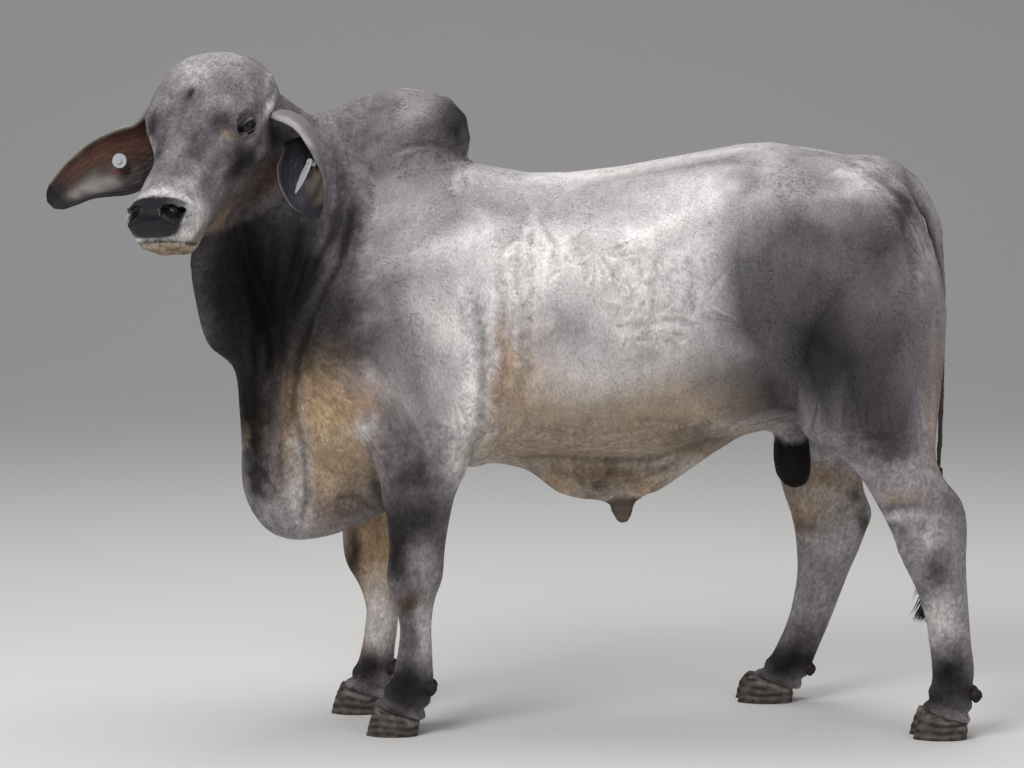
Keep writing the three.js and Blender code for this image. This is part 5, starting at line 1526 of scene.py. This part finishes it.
radii = switch["radius"] * (1 - 0.75 * steps ** 1.5) * dice.uniform(0.7, 1.1, (switch["locks"], 1))
paths = lockPaths(roots, ways, lengths, switch["steps"], 0.0, switch["waver"])
paths[..., 0] -= switch["curl"] * steps ** 5 * (lengths / 250)[:, None]
hair = lockPiece("switch_hair", paths, radii, switch["tone"], switch["spread"])
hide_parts("tail_switch")
print("switch made")

# Tags keep the drawing's own shape and get a moulded finish: colour, dullness, and size and lift of its grain
tagLook = {"colour": (0.46, 0.47, 0.49, 1), "dullness": 0.42, "grain": 90.0, "lift": 0.15}
tag = bpy.data.materials.new("tagPlastic")
tag.use_nodes = True
tagGrain = addNode(tag.node_tree, "ShaderNodeTexNoise", {"Scale": tagLook["grain"]})
tagBump = addNode(tag.node_tree, "ShaderNodeBump", {
    "Strength": tagLook["lift"], "Distance": 0.001, "Height": tagGrain.outputs["Fac"]})
feed(tag.node_tree, tag.node_tree.nodes["Principled BSDF"], {
    "Base Color": tagLook["colour"], "Roughness": tagLook["dullness"], "Normal": tagBump.outputs["Normal"]})
for node in ("tag_left", "tag_right"):
    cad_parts[node].data.materials.clear()
    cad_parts[node].data.materials.append(tag)

# Coat: tufts of four triangles each over the whole skin.
coat = {
    "tufts": 262000, "perPiece": 47000,
    "length": {"body": 9.5, "head": 5.5, "leg": 7.0},
    "width": {"body": 1.9, "head": 1.3, "leg": 1.6},
    "crowd": {"body": 1.0, "head": 2.8, "leg": 1.7},
    "lift": 0.35, "sunk": 0.7, "ridge": 0.36, "turn": 0.2, "shade": 0.30, "bareEye": 38, "patch": 0.003,
    "quickShare": 6, "headBox": (74, 185, 215),
}


# Where the coat's lie changes: height and reach of the fall down the flanks, x and reach of the neck, height
# and reach of the legs, start of the tail, its way on each; the whorl of the face and the way out from there
lie = {"fall": (1340, 520), "neck": (-330, 160), "leg": (660, 80), "tailX": 1000,
       "neckWay": (0.42, 0, -0.9), "legWay": (0.12, 0, -1.0), "tailWay": (0.05, 0, -1.0),
       "whorl": (-167.0, 0, 114), "faceStretch": (1.0, 0.7, 0.6), "faceDrift": (-6.0, 0, 0)}


# The lie of the coat: rearwards along the back, turning down the flanks with the fall, down the neck, legs
# and tail, outwards from the whorl on the face, and then less its part along the normal
def coatFlow(points, normals):
    local = toHead(points)
    z = points[:, 2]
    fall = bandShare(z, *lie["fall"])
    flow = np.stack([1 - 0.45 * fall, 0 * z, -0.12 - 0.75 * fall], -1)
    flow = covered(flow, bandShare(points[:, 0], *lie["neck"]), np.array(lie["neckWay"]))
    flow = covered(flow, bandShare(z, *lie["leg"]) * (np.abs(points[:, 1]) > 40), np.array(lie["legWay"]))
    tail = ((points[:, 0] > lie["tailX"]) & (np.abs(points[:, 1]) < 36))[:, None]
    flow = np.where(tail, np.array(lie["tailWay"]), flow)
    face = unit((local - np.array(lie["whorl"])) * np.array(lie["faceStretch"]) + np.array(lie["faceDrift"]))
    flow = np.where(inHeadBox(local, *coat["headBox"])[:, None], face @ headTurn.T, flow)
    flow = flow - np.einsum("ij,ij->i", flow, normals)[:, None] * normals
    return unit(flow)


# How much each point is head, leg by (600 - z) / 120, or body as the rest
def coatKinds(points):
    onHead = inHeadBox(toHead(points), *coat["headBox"]).astype(float)
    leg = clamp((600 - points[:, 2]) / 120) * (np.abs(points[:, 1]) > 60) * (1 - onHead)
    return {"head": onHead, "leg": leg, "body": 1 - onHead - leg}


# Skin unwrapped by its own shape: one way along the trunk, head or leg, the other by the angle round it
def coatUnwrap(points):
    local = toHead(points)
    kinds = coatKinds(points)
    u = 0.02 + 0.58 * (points[:, 0] + 760) / 1850
    v = 0.5 + 0.48 * np.arctan2(points[:, 1] - neckLine(points[:, 0]), points[:, 2] - 1000) / np.pi
    head = kinds["head"] > 0.5
    u = np.where(head, 0.65 + 0.17 * (local[:, 0] + 530) / 610, u)
    v = np.where(head, 0.5 + 0.48 * np.arctan2(local[:, 1], local[:, 2]) / np.pi, v)
    for k, (name, foot) in enumerate(feet.items()):
        row = alongStations(forms[name], 60)
        midX, midY = atHeight(row, points[:, 2], 0), atHeight(row, points[:, 2], 1)
        sameSide = ((points[:, 0] > 300) == (foot["toe"] > 300)) & ((points[:, 1] > 0) == (foot["y"] > 0))
        own = (kinds["leg"] > 0.5) & sameSide
        u = np.where(own, 0.84 + 0.14 * points[:, 2] / 700, u)
        turn = np.arctan2(points[:, 1] - midY, points[:, 0] - midX) / (2 * np.pi) + 0.5
        v = np.where(own, 0.02 + 0.24 * k + 0.22 * turn, v)
    return np.stack([u, v], -1)


# Triangles where no coat grows: wet ones, those under the hooves' crowns and those round the eyes
def bareSkin(middle):
    bare = skinWet[skinTris].max(1) > 0.1
    for foot in feet.values():
        under = overFoot(middle, foot, 0, 130, 80)
        bare |= under & (middle[:, 2] < crownHeight(foot, middle[:, 0]) + 7)
    for side in (1, -1):
        bare |= np.linalg.norm(middle - fromHead(eyeFrame(side)[0]), axis=1) < coat["bareEye"]
    return bare


# Roots spread over the triangles by area * crowding; each tuft is two corners at root -+ beside * width / 2,
# a ridge part of the way along and a tip at its end, both lifted off the skin
def coatTufts():
    a, b, c = (skinPoints[skinTris[:, k]] for k in range(3))
    area = np.linalg.norm(np.cross(b - a, c - a), axis=1) / 2
    middle = (a + b + c) / 3
    kinds = coatKinds(middle)
    weight = area * sum(kinds[k] * coat["crowd"][k] for k in kinds) * ~bareSkin(middle)
    count = coat["tufts"] // 1
    chosen = dice.choice(len(weight), count, p=weight / weight.sum())
    p, q = np.sqrt(dice.uniform(0, 1, count)), dice.uniform(0, 1, count)
    shares = np.stack([1 - p, p * (1 - q), p * q], -1)
    corners = skinTris[chosen]
    normals = pointNormals(skinPoints, skinTris)
    roots = np.einsum("ij,ijk->ik", shares, skinPoints[corners])
    facing = unit(np.einsum("ij,ijk->ik", shares, normals[corners]))
    # Each tuft takes the skin's colour at its root, painted shade included
    tone = np.einsum("ij,ijk->ik", shares, skinColour[corners])
    kinds = coatKinds(roots)
    size = dice.uniform(0.7, 1.25, (count, 1))
    length = sum(kinds[k] * coat["length"][k] for k in kinds)[:, None] * size
    width = sum(kinds[k] * coat["width"][k] for k in kinds)[:, None] * size
    flow = coatFlow(roots, facing)
    beside = np.cross(flow, facing)
    turn = dice.normal(0, coat["turn"], (count, 1))
    flow = flow * np.cos(turn) + beside * np.sin(turn)
    beside = np.cross(flow, facing)
    lift = coat["lift"] * dice.uniform(0.6, 1.5, (count, 1)) * (0.6 + 0.4 * length / 15)
    left = roots - beside * width / 2 - facing * coat["sunk"]
    right = roots + beside * width / 2 - facing * coat["sunk"]
    ridge = roots + flow * length * coat["ridge"] + facing * lift
    tip = roots + flow * length + facing * lift * dice.uniform(0.1, 1.3, (count, 1))
    points = np.stack([left, right, ridge, tip], 1)
    shade = np.clip(dice.normal(1.0, coat["shade"], (count, 1)), 0.45, 1.6)
    return points, np.clip(tone * shade, 0.004, 0.92), coatUnwrap(roots)


coatFinish = hideFinish("coatHair", "hide", size=300.0, fleck=0.12, dullness=0.68, lift=0.0)
tuftPoints, tuftTone, tuftPlace = coatTufts()
print("coat grown", len(tuftPoints), "tufts", round(time.time() - started, 1))
tuftFaces = np.array([[0, 1, 2], [0, 2, 3], [1, 3, 2], [0, 3, 1]])
tuftPatch = np.array([[-0.5, -0.5], [0.5, -0.5], [0.0, 0.1], [0.0, 0.5]]) * coat["patch"]
for k, start in enumerate(range(0, len(tuftPoints), coat["perPiece"])):
    own = slice(start, start + coat["perPiece"])
    points = tuftPoints[own]
    faces = (tuftFaces[None] + 4 * np.arange(len(points))[:, None, None]).reshape(-1, 3)
    piece = makePiece(f"coat_{k + 1}", points.reshape(-1, 3), [faces], smooth=False)
    addAttribute(piece, "hide", np.repeat(tuftTone[own], 4, axis=0))
    layer = piece.data.uv_layers.new(name="OFBake")
    places = (tuftPlace[own][:, None] + tuftPatch).reshape(-1, 2)[faces.ravel()]
    layer.data.foreach_set("uv", places.astype(np.float32).ravel())
    piece.data.materials.append(coatFinish)
    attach(piece, "root")


# Camera at the photograph's place and tilt; the lens gives its field over a 36 mm sensor
lens = bpy.data.cameras.new("camera")
lens.sensor_width = 36.0
lens.lens = view["focus"] / 1024 * 36
camera = bpy.data.objects.new("camera", lens)
camera.location = (np.array([0.0, -view["distance"], view["height"]]) + shift) * 0.001
camera.rotation_euler = (math.radians(90 - view["down"]), 0, 0)
bpy.context.scene.collection.objects.link(camera)
bpy.context.scene.camera = camera

# A pale floor that curves up far behind: height is 0.0006 * (distance behind its start)^4, all in metres
floorShape = {"side": 9, "front": -8, "back": 14, "start": 5, "rise": 0.0006, "colour": (0.74, 0.73, 0.71, 1)}
gridX, gridY = np.meshgrid(np.linspace(-floorShape["side"], floorShape["side"], 19),
                           np.linspace(floorShape["front"], floorShape["back"], 45))
rise = floorShape["rise"] * np.clip(gridY - floorShape["start"], 0, None) ** 4
n, m = gridX.shape
i, j = np.meshgrid(np.arange(n - 1), np.arange(m - 1), indexing="ij")
floorFaces = np.stack([i * m + j, i * m + j + 1, (i + 1) * m + j + 1, (i + 1) * m + j], -1).reshape(-1, 4)
floorPoints = np.stack([gridX, gridY, rise], -1).reshape(-1, 3) * 1000 - shift
floor = makePiece("floor", floorPoints, [floorFaces])
paper = bpy.data.materials.new("paleFloor")
paper.use_nodes = True
feed(paper.node_tree, paper.node_tree.nodes["Principled BSDF"], {
    "Base Color": floorShape["colour"], "Roughness": 0.9})
floor.data.materials.append(paper)

# Soft studio light: place, what it faces, size and strength of each lamp, and a dim even surround
lamps = {
    "key": {"at": (-3.2, -4.2, 5.6), "facing": (0.0, 0.0, 0.9), "size": 3.2, "power": 285},
    "fill": {"at": (4.6, -4.4, 2.6), "facing": (0.1, 0.0, 0.8), "size": 4.0, "power": 60},
    "top": {"at": (0.6, 0.6, 6.2), "facing": (0.1, 0.0, 1.0), "size": 4.0, "power": 165},
}
for name, lamp in lamps.items():
    data = bpy.data.lights.new(name, "AREA")
    data.shape, data.size, data.energy = "SQUARE", lamp["size"], lamp["power"]
    source = bpy.data.objects.new(name, data)
    source.location = lamp["at"]
    source.rotation_euler = (Vector(lamp["facing"]) - Vector(lamp["at"])).to_track_quat("-Z", "Y").to_euler()
    bpy.context.scene.collection.objects.link(source)
world = bpy.data.worlds.new("studio")
world.use_nodes = True
feed(world.node_tree, world.node_tree.nodes["Background"], {"Color": (0.86, 0.88, 0.92, 1), "Strength": 0.30})
bpy.context.scene.world = world
bpy.context.scene.view_settings.view_transform = "Standard"
